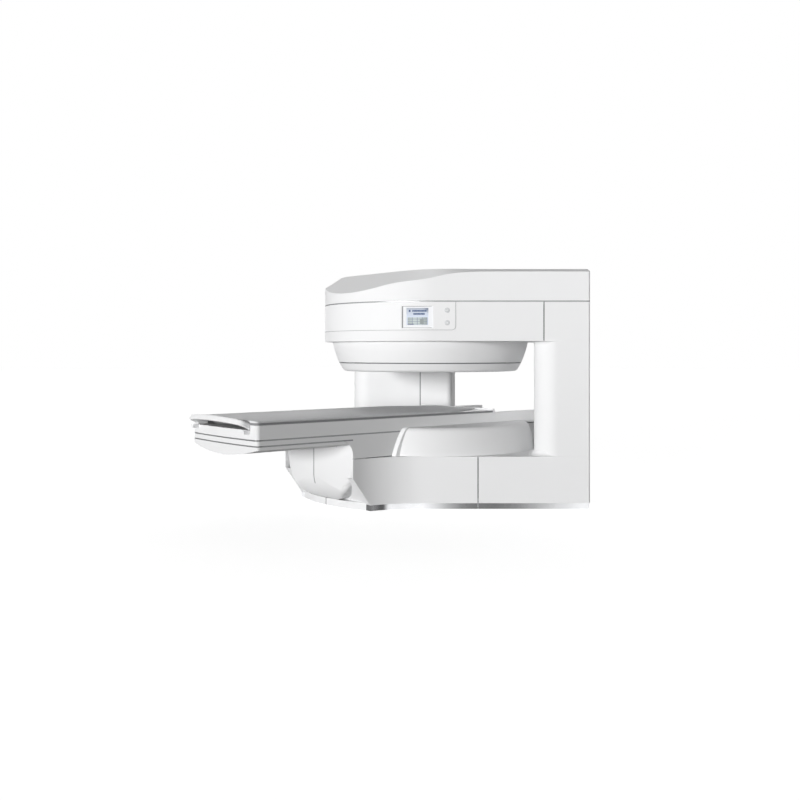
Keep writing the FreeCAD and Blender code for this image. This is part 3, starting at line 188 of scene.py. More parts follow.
class ScannerMouldings(bpy.types.PropertyGroup):
    """Sweeps round the posts."""

    foot_radius: length("Foot radius", "Sweep from a post into the deck", 42 * MM)
    head_radius: length("Head radius", "Sweep from a post into the yoke", 30 * MM)


class ScannerScrews(bpy.types.PropertyGroup):
    """Cover screws at the head end and under the table."""

    radius: length("Head radius", "Radius of a screw's head", 7 * MM)
    height: length("Head height", "How far a screw stands proud", 3 * MM)
    socket: length("Socket", "Radius of the socket", 2.6 * MM)


class ScannerStage(bpy.types.PropertyGroup):
    """Camera and studio."""

    lens: FloatProperty(name="Lens", description="Focal length", default=42.6, unit="CAMERA")
    key: brightness("Key light", "Strength of the key lamp", 3.5)
    fill: brightness("Fill light", "Strength of the fill lamp", 2.3)
    top: brightness("Top light", "Strength of the top lamp", 0.12)
    sky: brightness("Sky", "Strength of the even light", 0.1)
    floor: brightness("Floor glow", "Floor's own white", 0.86)
    bounce: factor("Floor bounce", "Light that the floor throws back", 0.4)


SETTINGS = {
    "scanner_finishes": ScannerFinishes,
    "scanner_display": ScannerDisplay,
    "scanner_mat": ScannerMat,
    "scanner_mouldings": ScannerMouldings,
    "scanner_screws": ScannerScrews,
    "scanner_stage": ScannerStage,
}


# ---------------------------------------------------------------- node trees


class Wire:
    """An output socket of a node tree, on which arithmetic adds Math nodes."""

    def __init__(self, tree, socket):
        self.tree, self.socket = tree, socket

    def maths(self, operation, *values):
        return self.tree.node(
            "ShaderNodeMath", {"operation": operation}, dict(enumerate(values or (self,)))
        )

    def of(self, output):
        """Another output of the same node."""
        return Wire(self.tree, self.socket.node.outputs[output])

    def __add__(self, other):
        return self.maths("ADD", self, other)

    def __sub__(self, other):
        return self.maths("SUBTRACT", self, other)

    def __rsub__(self, other):
        return self.maths("SUBTRACT", other, self)

    def __mul__(self, other):
        return self.maths("MULTIPLY", self, other)

    def __truediv__(self, other):
        return self.maths("DIVIDE", self, other)

    def __rtruediv__(self, other):
        return self.maths("DIVIDE", other, self)

    def __pow__(self, other):
        return self.maths("POWER", self, other)

    def __mod__(self, other):
        return self.maths("FLOORED_MODULO", self, other)

    def __gt__(self, other):
        return self.maths("GREATER_THAN", self, other)

    def __lt__(self, other):
        return self.maths("LESS_THAN", self, other)

    def __abs__(self):
        return self.maths("ABSOLUTE")

    __radd__, __rmul__ = __add__, __mul__


class Tree:
    """A node tree, and the one method that adds a node to it."""

    def __init__(self, tree):
        self.tree = tree

    def node(self, kind, settings=None, sockets=None, output=0):
        made = self.tree.nodes.new(kind)
        for name, value in (settings or {}).items():
            if name == "stops":
                ramp = made.color_ramp.elements
                while len(ramp) < len(value):
                    ramp.new(0)
                for stop, (place, tint) in zip(ramp, value):
                    stop.position, stop.color = place, (*tint, 1)
            else:
                setattr(made, name, value)
        for name, value in (sockets or {}).items():
            into = made.inputs[name] if isinstance(name, int) else next(
                each for each in made.inputs if each.name == name and each.enabled
            )
            if isinstance(value, Wire):
                self.tree.links.new(value.socket, into)
            else:
                into.default_value = value
        outputs = [each for each in made.outputs if each.enabled]
        if not outputs:
            return None
        return Wire(self, outputs[output] if isinstance(output, int) else made.outputs[output])


class Finish(Tree):
    """A material's node tree, with the patterns that the scanner's finishes share."""

    def __init__(self, name):
        self.material = bpy.data.materials.new(name)
        self.material.use_nodes = True
        super().__init__(self.material.node_tree)
        self.tree.nodes.clear()
        self.place = self.node("ShaderNodeTexCoord", output="Object")

    def scaled(self, scale):
        """Object coordinates, stretched."""
        return self.node(
            "ShaderNodeVectorMath", {"operation": "MULTIPLY"}, {0: self.place, 1: scale}
        )

    def noise(self, scale, detail=2.0, roughness=0.5, stretch=None):
        place = self.scaled(stretch) if stretch else self.place
        sockets = {"Vector": place, "Scale": scale, "Detail": detail, "Roughness": roughness}
        return self.node("ShaderNodeTexNoise", None, sockets)

    def cells(self, scale, feature="F1", randomness=1.0):
        sockets = {"Vector": self.place, "Scale": scale, "Randomness": randomness}
        return self.node("ShaderNodeTexVoronoi", {"feature": feature}, sockets)

    def ramp(self, value, stops):
        """A smooth rise or fall of a value, from stops of (place, level)."""
        shades = [(place, (level, level, level)) for place, level in stops]
        return self.node("ShaderNodeValToRGB", {"stops": shades}, {"Fac": value})

    def mix(self, amount, first, second):
        """Two colours mixed; a colour written as three numbers is made plain."""
        pair = [each if isinstance(each, Wire) else (*each, 1) for each in (first, second)]
        settings = {"data_type": "RGBA"}
        return self.node(
            "ShaderNodeMix", settings, {"Factor": amount, "A": pair[0], "B": pair[1]}
        )

    def along(self, direction, centre=ORIGIN):
        """Distance from a centre along a direction."""
        turned = self.node(
            "ShaderNodeVectorMath", {"operation": "DOT_PRODUCT"},
            {0: self.place, 1: tuple(direction)}, output="Value",
        )
        return turned - direction.dot(centre)

    def height(self):
        return self.along(UP)

    def sideways(self):
        return self.along(Y_AXIS)

    def on_plan(self, x_share, y_share):
        """A distance seen from above, alike on both sides of the middle."""
        return self.along(X_AXIS * x_share) + abs(self.along(Y_AXIS * y_share))

    def reach(self):
        """Distance along the flanks from the middle of the nose."""
        return self.on_plan(abs(OUT.y), abs(OUT.x))

    def breadth(self):
        """Distance out to the flanks, square to the reach."""
        return self.on_plan(OUT.x, OUT.y)

    def painted_seam_shade(self, seams):
        """1 along the covers' seams, where their painted shade lies; each seam is given as a measure, a
        place, and perhaps an end along X.
        """
        shown = None
        for measure, place, *end in seams:
            line = abs(getattr(self, measure)() - place) < SEAM_EDGE
            if end:
                line = line * (self.along(X_AXIS) < end[0])
            shown = shown.maths("MAXIMUM", shown, line) if shown else line
        return shown

    def bump(self, height, strength, distance):
        sockets = {"Height": height, "Strength": strength, "Distance": distance}
        return self.node("ShaderNodeBump", None, sockets)

    def surface(self, **sockets):
        """Ends the tree in a Principled surface; underscores stand for its sockets' spaces."""
        named = {key.replace("_", " "): value for key, value in sockets.items()}
        shader = self.node("ShaderNodeBsdfPrincipled", None, named)
        self.node("ShaderNodeOutputMaterial", None, {"Surface": shader})
        return self.material


def shade(colour_value, amount):
    """A colour made darker or lighter."""
    return tuple(min(1.0, each * amount) for each in colour_value)


def dress(material, *nodes):
    for name in nodes:
        slots = NODES[name].material_slots
        if not slots:
            NODES[name].data.materials.append(material)
        for each in slots:
            each.material = material


# ---------------------------------------------------------------- finishes


def moulded_paint(name, finishes, roughness, gloss, scuffed=False, seams=(), outline=None):
    """Satin paint with orange peel, slow drift of tone, wiped streaks, scuffs low down, and painted
    shade along the seams.

    The outline is where the painted shade round the fascia runs: its right side, and its lower side.
    """
    finish = Finish(name)
    paint = finishes.fascia if outline else finishes.cover
    drift = finish.noise(1.7, detail=3.0)
    peel = finish.noise(520.0, roughness=0.6)
    wiped = finish.noise(9.0, detail=4.0, roughness=0.6, stretch=(1.0, 1.0, 0.22))
    tone = finish.mix(drift, shade(paint, 0.985), shade(paint, 1.012))
    rough = wiped * 0.12 + (roughness - 0.06)
    if scuffed:
        low = finish.ramp(finish.height(), [(0.03, 1), (0.16, 0)])
        rubbed = finish.noise(38.0, detail=5.0, roughness=0.7, stretch=(1, 1, 3.5))
        scuffs = low * finish.ramp(rubbed, [(0.62, 0), (0.7, 1)]) * 0.35
        tone = finish.mix(scuffs, tone, shade(paint, 0.62))
        rough = rough + scuffs * 0.5
    if seams:
        # painted shade: dark edging beside each seam, standing for the shade in its gap
        tone = finish.mix(finish.painted_seam_shade(seams), tone, finishes.edge_shade)
    if outline:
        right, low = outline
        insets = (right - finish.reach(), finish.height() - low)
        nearness = [FASCIA_ROUNDING - each for each in insets]
        turns = [each.maths("MAXIMUM", each, 0.0) for each in nearness]
        inside = FASCIA_ROUNDING - (turns[0] * turns[0] + turns[1] * turns[1]) ** 0.5
        # painted shade: dark edging just inside the fascia's right and lower outline
        tone = finish.mix(inside < FASCIA_EDGE, tone, finishes.edge_shade)
    return finish.surface(
        Base_Color=tone, Roughness=rough, IOR=1.4, Specular_IOR_Level=gloss,
        Normal=finish.bump(peel, strength=0.06, distance=0.4 * MM),
    )


def matt_mould(name, paint, roughness=0.55, grain=900.0):
    """Matt moulded plastic with a fine spark-eroded grain."""
    finish = Finish(name)
    pits = finish.cells(grain)
    drift = finish.noise(6.0, detail=3.0)
    return finish.surface(
        Base_Color=finish.mix(drift, shade(paint, 0.96), shade(paint, 1.03)),
        Roughness=pits * 0.14 + (roughness - 0.07),
        Normal=finish.bump(pits, strength=0.12, distance=0.3 * MM),
    )


def brushed_steel(name, metal):
    """Steel sheet brushed level, with a few marks; its slow light and dark bands are painted
    reflections.
    """
    finish = Finish(name)
    first, span = -0.5, 1.7  # the reach at which the painted reflection bands start, and how far they run
    far_reflection_reach = -0.34  # up to this reach the far side's plates get a painted light reflection
    # painted reflection: slow dark and light bands along the plates, as if they mirrored a dark and a
    # bright studio
    painted_reflections = finish.ramp((finish.reach() - first) / span, [
        (0.019, 0.1), (0.035, 0.2), (0.065, 0.02), (0.079, 0.05), (0.097, 0.88), (0.112, 1.0),
        (0.235, 1.0), (0.294, 0.73), (0.356, 0.39), (0.412, 0.19), (0.46, 0.11), (0.559, 0.1),
        (0.647, 0.19), (0.735, 0.4), (0.824, 0.68), (0.941, 0.99),
    ])
    # painted reflection: the far side's plates near the foot are made light
    far_reflection = (finish.sideways() > 0.0) * (finish.reach() < far_reflection_reach)
    painted_reflections = painted_reflections.maths("MAXIMUM", painted_reflections, far_reflection)
    strokes = finish.noise(70.0, detail=5.0, roughness=0.75, stretch=(0.12, 0.12, 26.0))
    fine = finish.noise(340.0, detail=3.0, roughness=0.7, stretch=(0.08, 0.08, 9.0))
    marks = finish.ramp(finish.noise(7.0, detail=4.0), [(0.45, 0), (0.75, 1)])
    streaked = finish.mix(strokes, shade(metal, 1.34), shade(metal, 1.52))
    tone = finish.mix(painted_reflections, shade(metal, 0.13), streaked)
    return finish.surface(
        Base_Color=finish.mix(marks * 0.12, tone, shade(metal, 0.4)),
        Metallic=1.0, Roughness=fine * 0.16 + marks * 0.08 + 0.2,
        Normal=finish.bump(strokes + fine, strength=0.08, distance=0.15 * MM),
    )


def milled_metal(name, metal, roughness=0.38):
    """Mill-finished extrusion with faint drawn lines."""
    finish = Finish(name)
    drawn = finish.noise(160.0, detail=3.0, roughness=0.7, stretch=(0.06, 1.0, 1.0))
    blotch = finish.noise(11.0, detail=4.0)
    return finish.surface(
        Base_Color=finish.mix(blotch, shade(metal, 0.9), shade(metal, 1.06)),
        Metallic=1.0, Roughness=drawn * 0.15 + (roughness - 0.07),
        Normal=finish.bump(drawn, strength=0.1, distance=0.2 * MM),
    )


def painted_iron(name, paint):
    """Cast and machined iron under a thin hard paint."""
    finish = Finish(name)
    cast = finish.noise(48.0, detail=6.0, roughness=0.65)
    pits = finish.cells(210.0)
    return finish.surface(
        Base_Color=finish.mix(cast, shade(paint, 0.75), shade(paint, 1.3)),
        Metallic=0.2, Roughness=cast * 0.25 + 0.42,
        Normal=finish.bump(cast * 0.7 + pits * 0.3, strength=0.3, distance=0.8 * MM),
    )


def ground_magnet(name, body):
    """Dark sintered blocks set in a square pattern, ground flat."""
    finish = Finish(name)
    split = finish.node("ShaderNodeSeparateXYZ", None, {"Vector": finish.place})
    block = 50 * MM  # side of one block
    joint_start = 0.47  # from a block's middle, as a share of its side
    lines = [abs((split.of(axis) / block) % 1.0 - 0.5) > joint_start for axis in ("X", "Y")]
    joint = lines[0].maths("MAXIMUM", lines[0], lines[1])
    grain = finish.noise(230.0, detail=4.0, roughness=0.7)
    return finish.surface(
        Base_Color=finish.mix(joint, shade(body, 1.6), shade(body, 0.5)),
        Metallic=0.35, Roughness=grain * 0.2 + 0.3,
        Normal=finish.bump(grain * 0.2 - joint, strength=0.25, distance=0.5 * MM),
    )


def cast_resin(name, resin):
    """Amber casting resin over wound strip: the turns show as faint rings."""
    finish = Finish(name)
    radius = finish.node(
        "ShaderNodeVectorMath", {"operation": "LENGTH"}, {0: finish.scaled((1, 1, 0))}, "Value"
    )
    pitch = 12 * MM  # from turn to turn
    turns = abs((radius / pitch) % 1.0 - 0.5) * 2.0
    clouds = finish.noise(14.0, detail=4.0)
    return finish.surface(
        Base_Color=finish.mix(turns * 0.35 + clouds * 0.2, resin, shade(resin, 0.55)),
        Roughness=clouds * 0.15 + 0.3, Coat_Weight=0.3, Coat_Roughness=0.1,
        Normal=finish.bump(turns, strength=0.2, distance=0.4 * MM),
    )


def laminate(name, body, top, level):
    """Fibre laminate with a fine twill on its edges, under a pale gel coat on its top."""
    finish = Finish(name)
    split = finish.node("ShaderNodeSeparateXYZ", None, {"Vector": finish.place})
    tow = 1.6 * MM  # width of the fibre strands
    warp = ((split.of("X") + split.of("Y")) / tow) % 1.0
    weft = ((split.of("X") - split.of("Y")) / tow) % 1.0
    twill = abs(warp - 0.5) + abs(weft - 0.5)
    drift = finish.noise(4.0, detail=3.0)
    fibre = finish.mix(twill * 0.5 + drift * 0.5, shade(body, 0.86), shade(body, 1.16))
    gel = finish.height() > level - 0.3 * MM
    coat = finish.mix(drift, shade(top, 0.97), shade(top, 1.02))
    return finish.surface(
        Base_Color=finish.mix(gel, fibre, coat),
        Roughness=drift * 0.1 + 0.42, IOR=1.4, Specular_IOR_Level=0.3,
        Normal=finish.bump(twill * (1.0 - gel), strength=0.08, distance=0.15 * MM),
    )


def coated_cloth(name, body):
    """Coated mat cover: pebbled grain, soft creases and a slightly polished middle."""
    finish = Finish(name)
    pebbles = finish.cells(620.0, feature="SMOOTH_F1")
    creases = finish.noise(13.0, detail=5.0, roughness=0.6)
    worn = finish.ramp(abs(finish.sideways()), [(0.12, 1), (0.34, 0)])
    tone = finish.mix(creases, shade(body, 0.93), shade(body, 1.06))
    return finish.surface(
        Base_Color=finish.mix(worn * 0.2, tone, shade(body, 1.1)),
        Roughness=pebbles * 0.2 - worn * 0.06 + 0.62,
        IOR=1.4, Specular_IOR_Level=0.08,
        Normal=finish.bump(pebbles + creases * 0.6, strength=0.2, distance=0.5 * MM),
    )


def bezel_mould(name, paint, centre, half_width, half_height):
    """Matt moulded frame with painted shade on its left side and dark joints along its top and foot."""
    finish = Finish(name)
    across, up = finish.along(ALONG, centre), finish.along(UP, centre)
    joint_width, shade_width, joint_end = 4 * MM, 9 * MM, 12 * MM
    joints = (abs(up) > half_height - joint_width) * (across < half_width - joint_end)
    # painted shade: a dark band down the frame's left side, standing for the shade on the display
    # recess's wall
    side = across < shade_width - half_width
    pits = finish.cells(900.0)
    tone = finish.mix(joints, paint, shade(paint, 0.5))
    return finish.surface(
        Base_Color=finish.mix(side, tone, shade(paint, 0.28)),
        Roughness=pits * 0.14 + 0.4, Normal=finish.bump(pits, strength=0.12, distance=0.3 * MM),
    )


def circuit_laminate(name):
    """Green lacquered board with patches of crossing tracks."""
    finish = Finish(name)
    pitch = 4 * MM  # from track to track
    level, upright = finish.along(ALONG) / pitch, finish.height() / pitch
    lines = (abs(level % 1.0 - 0.5) > 0.4) + (abs(upright % 1.0 - 0.5) > 0.43)
    patches = finish.ramp(finish.noise(60.0), [(0.48, 0), (0.52, 1)])
    tracks = lines * patches
    return finish.surface(
        Base_Color=finish.mix(tracks, (0.01, 0.09, 0.035), (0.05, 0.25, 0.09)),
        Roughness=0.35 + tracks * 0.1, Normal=finish.bump(tracks, strength=0.3, distance=0.1 * MM),
    )


def key_face(name, face, centre):
    """Key face with a shallow ring moulded in it."""
    finish = Finish(name)
    level, upright = finish.along(ALONG, centre), finish.along(UP, centre)
    ring_radius, ring_half_width = 9.5 * MM, 0.9 * MM
    radius = (level * level + upright * upright) ** 0.5
    ring = abs(radius - ring_radius) < ring_half_width
    smudge = finish.noise(90.0, detail=4.0)
    return finish.surface(
        Base_Color=finish.mix(ring, face, shade(face, 0.5)),
        Roughness=smudge * 0.2 + 0.25, Coat_Weight=0.3, Coat_Roughness=0.1,
        Normal=finish.bump(1.0 - ring, strength=0.4, distance=0.3 * MM),
    )


def screen_picture(name, display, centre, half_width, half_height):
    """The display's picture: two broken bars with a marker, a dark corner and a ruled lower field."""
    finish = Finish(name)
    across = finish.along(ALONG, centre) / half_width
    up = finish.along(UP, centre) / half_height

    def field(left, right, low, high):
        """1 inside a rectangle whose sides are given from -1 to 1."""
        inside = abs(across - (left + right) / 2) < (right - left) / 2
        return inside * (abs(up - (low + high) / 2) < (high - low) / 2)

    bars = (field(-0.48, 0.82, 0.56, 0.78), field(-0.4, 0.66, 0.2, 0.42))
    marker = field(-0.8, -0.64, 0.54, 0.8)
    grid = field(-0.9, 0.9, -0.98, -0.1)
    column = field(0.22, 0.56, -0.9, -0.3)
    foot = field(-0.9, -0.35, -0.98, -0.84)
    title, shadow, table = display.title, display.shadow, display.table
    paper = finish.mix(
        finish.ramp(up * 0.5 + 0.5, [(0.5, 0), (0.9, 0.45), (1.0, 1)]),
        shade(display.paper, 1.15), shade(display.paper, 0.62),
    )
    corner = finish.ramp((across + up * 0.9) * 0.5, [(0.62, 0), (0.86, 1)])
    picture = finish.mix(corner * (up > 0.3), paper, shadow)
    broken = (across * 8.0) % 1.0 > 0.12
    for bar in bars:
        picture = finish.mix(bar * broken, picture, title)
    picture = finish.mix(marker, picture, title)
    upright_rules, level_rules = (across * 2.2 + 0.1) % 1.0 < 0.1, (up * 3.4 + 0.1) % 1.0 < 0.16
    rules = upright_rules.maths("MAXIMUM", upright_rules, level_rules)
    washed = finish.ramp(abs(across + 0.15), [(0.2, 1), (0.9, 0)])
    picture = finish.mix(grid, picture, finish.mix(washed, shade(table, 0.85), shade(table, 1.3)))
    picture = finish.mix(grid * rules, picture, shade(shadow, 1.3))
    picture = finish.mix(column, picture, shade(table, 0.68))
    picture = finish.mix(foot, picture, shadow)
    dots = finish.cells(2400.0, randomness=0.0)
    picture = finish.mix(dots * 0.12, picture, (0, 0, 0))
    return finish.surface(
        Base_Color=finish.mix(0.9, picture, (0.01, 0.012, 0.015)),
        Emission_Color=picture, Emission_Strength=display.glow,
        Roughness=finish.noise(60.0, detail=3.0) * 0.08 + 0.08,
        Coat_Weight=0.4, Coat_Roughness=0.05,
    )


# ---------------------------------------------------------------- shaping tools


def linked(name, data):
    """A new object in the scene."""
    made = bpy.data.objects.new(name, data)
    bpy.context.scene.collection.objects.link(made)
    return made


def meshed(shape, name):
    """The mesh of a bmesh, which is freed."""
    mesh = bpy.data.meshes.new(name)
    shape.to_mesh(mesh)
    shape.free()
    return mesh


def new_piece(name, mesh, material, body):
    """Puts a finished mesh in the scene as a piece that rides on a body."""
    piece = linked(name, mesh)
    mesh.materials.clear()
    mesh.materials.append(material)
    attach(piece, body)
    return piece


def lathe(outline, segments):
    """A closed turned mesh about Z from (radius, height) points; a radius of 0 is a pole."""
    shape = bmesh.new()
    turns = [2 * math.pi * step / segments for step in range(segments)]
    rings = []
    for radius, level in outline:
        places = [(radius * math.cos(turn), radius * math.sin(turn), level) for turn in turns]
        rings.append([shape.verts.new(place) for place in (places if radius else [(0, 0, level)])])
    closed = rings if outline[0][0] == 0 else rings + rings[:1]
    for lower, upper in zip(closed, closed[1:]):
        for step in range(segments):
            after = (step + 1) % segments
            corners = [lower[step % len(lower)], lower[after % len(lower)],
                       upper[after % len(upper)], upper[step % len(upper)]]
            corners = list(dict.fromkeys(corners))
            if len(corners) > 2:
                shape.faces.new(corners)
    bmesh.ops.recalc_face_normals(shape, faces=shape.faces)
    for face in shape.faces:
        face.smooth = True
    return meshed(shape, "turned")


def facing(direction, place):
    """The matrix that stands a mesh's Z axis along a direction, at a place."""
    return Matrix.Translation(place) @ direction.to_track_quat("Z", "Y").to_matrix().to_4x4()


def faces_of(mesh):
    """A search tree of a mesh's faces."""
    return BVHTree.FromPolygons([v.co for v in mesh.vertices], [p.vertices for p in mesh.polygons])


def surface_of(name):
    """A search tree of a CAD node's faces."""
    return faces_of(NODES[name].data)


def middle(name):
    low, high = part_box(name)
    return (low + high) / 2


def spread(name, direction):
    """The least and the most that a node reaches along a direction."""
    places = [direction.dot(v.co) for v in NODES[name].data.vertices]
    return min(places), max(places)


def half_face(name):
    """Half a node's width along the fascia, and half its height."""
    (left, right), (low, high) = spread(name, ALONG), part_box(name)
    return (right - left) / 2, (high.z - low.z) / 2


def between(lower, upper, direction):
    """The middle of the seam between two covers, along a direction."""
    return (spread(lower, direction)[1] + spread(upper, direction)[0]) / 2


def modified(mesh, tree, values, name):
    """A plain mesh of what a Geometry Nodes tree makes from a mesh; values are its inputs by name."""
    base = linked(name, mesh)
    modifier = base.modifiers.new(name, "NODES")
    modifier.node_group = tree
    for item in tree.interface.items_tree:
        if item.item_type == "SOCKET" and item.in_out == "INPUT" and item.name in values:
            modifier[item.identifier] = values[item.name]
    bpy.context.view_layer.update()
    shaped = base.evaluated_get(bpy.context.evaluated_depsgraph_get())
    made = bpy.data.meshes.new_from_object(shaped)
    base.modifiers.remove(modifier)
    bpy.data.objects.remove(base)
    return made


def nodes_tree(name, inputs):
    """A Geometry Nodes group with a geometry in and out, and named inputs of (kind, name)."""
    group = bpy.data.node_groups.new(name, "GeometryNodeTree")
    group.interface.new_socket("Geometry", in_out="INPUT", socket_type="NodeSocketGeometry")
    group.interface.new_socket("Geometry", in_out="OUTPUT", socket_type="NodeSocketGeometry")
    for kind, label in inputs:
        group.interface.new_socket(label, in_out="INPUT", socket_type="NodeSocket" + kind)
    tree = Tree(group)
    return tree, tree.node("NodeGroupInput")


def end_tree(tree, instances, material):
    """Every tree ends alike: real faces, with their material."""
    real = tree.node("GeometryNodeRealizeInstances", None, {"Geometry": instances})
    dressed = tree.node("GeometryNodeSetMaterial", None, {"Geometry": real, "Material": material})
    tree.node("NodeGroupOutput", None, {"Geometry": dressed})
    return tree.tree


def hull(*names):
    """The convex outline of nodes seen from above, anticlockwise."""
    corners = (v.co for name in names for v in NODES[name].data.vertices)
    places = sorted({(round(corner.x, 5), round(corner.y, 5)) for corner in corners})
    straight = 1e-9  # a turn no larger than this is no corner
    outline = []
    for order in (places, places[::-1]):
        chain = []
        for place in map(Vector, order):
            while len(chain) > 1 and (chain[-1] - chain[-2]).cross(place - chain[-2]) <= straight:
                chain.pop()
            chain.append(place)
        outline += chain[:-1]
    return outline


def divided(outline, most):
    """An outline with no side longer than a length."""
    points = []
    for one, other in zip(outline, outline[1:] + outline[:1]):
        parts = math.ceil((other - one).length / most)
        points += [one.lerp(other, part / parts) for part in range(parts)]
    return points


def outward(one, other):
    """The outward direction of a side of an anticlockwise outline."""
    along = (other - one).normalized()
    return Vector((along.y, -along.x))


def loft(rings, name):
    """A closed mesh through closed rings of as many points each, capped at both ends."""
    shape = bmesh.new()
    rows = [[shape.verts.new(point) for point in ring] for ring in rings]
    count = len(rows[0])
    for row, after in zip(rows, rows[1:]):
        for step in range(count):
            following = (step + 1) % count
            shape.faces.new([row[step], row[following], after[following], after[step]])
    shape.faces.new(rows[0])
    shape.faces.new(rows[-1])
    bmesh.ops.recalc_face_normals(shape, faces=shape.faces)
    for face in shape.faces:
        face.smooth = len(face.verts) == 4
    return meshed(shape, name)


# ---------------------------------------------------------------- operators


class SCANNER_OT_stage(bpy.types.Operator):
    """Set the camera, lamps, white surround and pale floor"""

    bl_idname = "scanner.stage"
    bl_label = "Studio"

    def execute(self, context):
        scene, settings = context.scene, context.scene.scanner_stage
        scene.view_settings.view_transform = "Standard"
        data = bpy.data.cameras.new("view")
        data.lens, data.sensor_width, data.shift_y = settings.lens, SENSOR_WIDTH, FRAME_SHIFT
        camera = linked("view", data)
        camera.location = CAMERA_PLACE
        camera.rotation_euler = (math.radians(90), 0, math.radians(CAMERA_TURN))
        scene.camera = camera
        for name, setting, breadth, towards in LAMPS:
            lamp = bpy.data.lights.new(name, "SUN")
            lamp.energy, lamp.angle = getattr(settings, setting), math.radians(breadth)
            turned = Vector(towards).to_track_quat("-Z", "Y").to_euler()
            linked(name, lamp).rotation_euler = turned
        self.surround(scene, settings)
        self.floor(settings)
        return {"FINISHED"}

    @staticmethod
    def seen(tree):
        """1 for the rays that show a thing: straight, reflected and through glass."""
        path = tree.node("ShaderNodeLightPath")
        rays = [path.of(each) for each in ("Is Camera Ray", "Is Glossy Ray", "Is Transmission Ray")]
        return rays[0].maths("MINIMUM", rays[0] + rays[1] + rays[2], 1.0)

    def surround(self, scene, settings):
        """A surround that shows white, and lights the scanner only as much as the sky setting says."""
        world = bpy.data.worlds.new("surround")
        world.use_nodes = True
        scene.world = world
        tree = Tree(world.node_tree)
        tree.tree.nodes.clear()
        seen = self.seen(tree)
        glow = {"Strength": seen * (1 - settings.sky) + settings.sky, "Color": (*WHITE, 1)}
        background = tree.node("ShaderNodeBackground", None, glow)
        tree.node("ShaderNodeOutputWorld", None, {"Surface": background})

    def floor(self, settings):
        """A pale round floor that keeps the shadow, and glows for the rays that show it."""
        finish = Finish("pale_floor")
        darker, lighter = shade(WHITE, settings.bounce), shade(WHITE, settings.bounce + 0.02)
        grain = finish.mix(finish.noise(30.0, detail=3.0), darker, lighter)
        matt = finish.node("ShaderNodeBsdfDiffuse", None, {"Color": grain})
        white = {"Strength": self.seen(finish) * settings.floor, "Color": (*WHITE, 1)}
        glow = finish.node("ShaderNodeEmission", None, white)
        both = finish.node("ShaderNodeAddShader", None, {0: matt, 1: glow})
        finish.node("ShaderNodeOutputMaterial", None, {"Surface": both})
        shape = bmesh.new()
        bmesh.ops.create_circle(shape, cap_ends=True, segments=96, radius=FLOOR_RADIUS)
        mesh = meshed(shape, "floor")
        mesh.materials.append(finish.material)
        floor = linked("floor", mesh)


class SCANNER_OT_covers(bpy.types.Operator):
    """Paint the moulded covers, trims and the handle"""

    bl_idname = "scanner.covers"
    bl_label = "Covers"

    def execute(self, context):
        finishes = context.scene.scanner_finishes
        cap_seam = ("height", between("nose_cover", "top_cap", UP))
        arm_seam = ("reach", between("nose_cover", "near_yoke_arm_cover", ALONG))
        belly_end, half_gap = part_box("belly_pan")[1], 1.5 * MM
        groups = (
            ("cap_paint", ["top_cap"], [cap_seam]),
            ("yoke_paint", YOKE_COVERS, [cap_seam, arm_seam]),
            ("pole_paint", POLE_COVERS, [("height", between(*reversed(POLE_COVERS), UP))]),
            ("table_paint", TABLE_COVERS, [
                ("height", between("near_table_side_panel", "table_tray", UP)),
                ("height", between("near_front_base_cover", "near_table_side_panel", UP)),
                ("height", belly_end.z + half_gap, belly_end.x),
            ]),
            ("pedestal_paint", PEDESTAL_COVERS, [("sideways", 0.0)]),
            ("base_paint", BASE_COVERS, [
                ("reach", between("near_front_base_cover", "near_back_base_cover", ALONG)),
            ]),
            ("post_paint", POST_COVERS, [
                ("breadth", between("near_post_back_cover", "near_post_front_cover", OUT)),
            ]),
            ("cover_paint", OTHER_COVERS, []),
        )
        for name, covers, seams in groups:
            gloss = CROWN_GLOSS if name == "cap_paint" else COVER_GLOSS
            paint = moulded_paint(name, finishes, 0.6, gloss, scuffed=True, seams=seams)
            dress(paint, *covers)
        dress(matt_mould("trim_mould", finishes.trim), *TRIMS)
        dress(matt_mould("handle_mould", finishes.handle, roughness=0.48), "tabletop_handle")
        return {"FINISHED"}


class SCANNER_OT_metalwork(bpy.types.Operator):
    """Finish the kick plates, frames, iron, magnets and coils"""

    bl_idname = "scanner.metalwork"
    bl_label = "Metalwork"

    def execute(self, context):
        finishes = context.scene.scanner_finishes
        dress(brushed_steel("kick_steel", finishes.steel), "kick_plates")
        dress(milled_metal("mill_aluminium", finishes.aluminium), *FRAMES)
        dress(painted_iron("yoke_iron", finishes.iron), *IRON)
        dress(ground_magnet("magnet_blocks", finishes.magnet), *MAGNETS)
        dress(cast_resin("coil_resin", finishes.coil), *COILS)
        return {"FINISHED"}


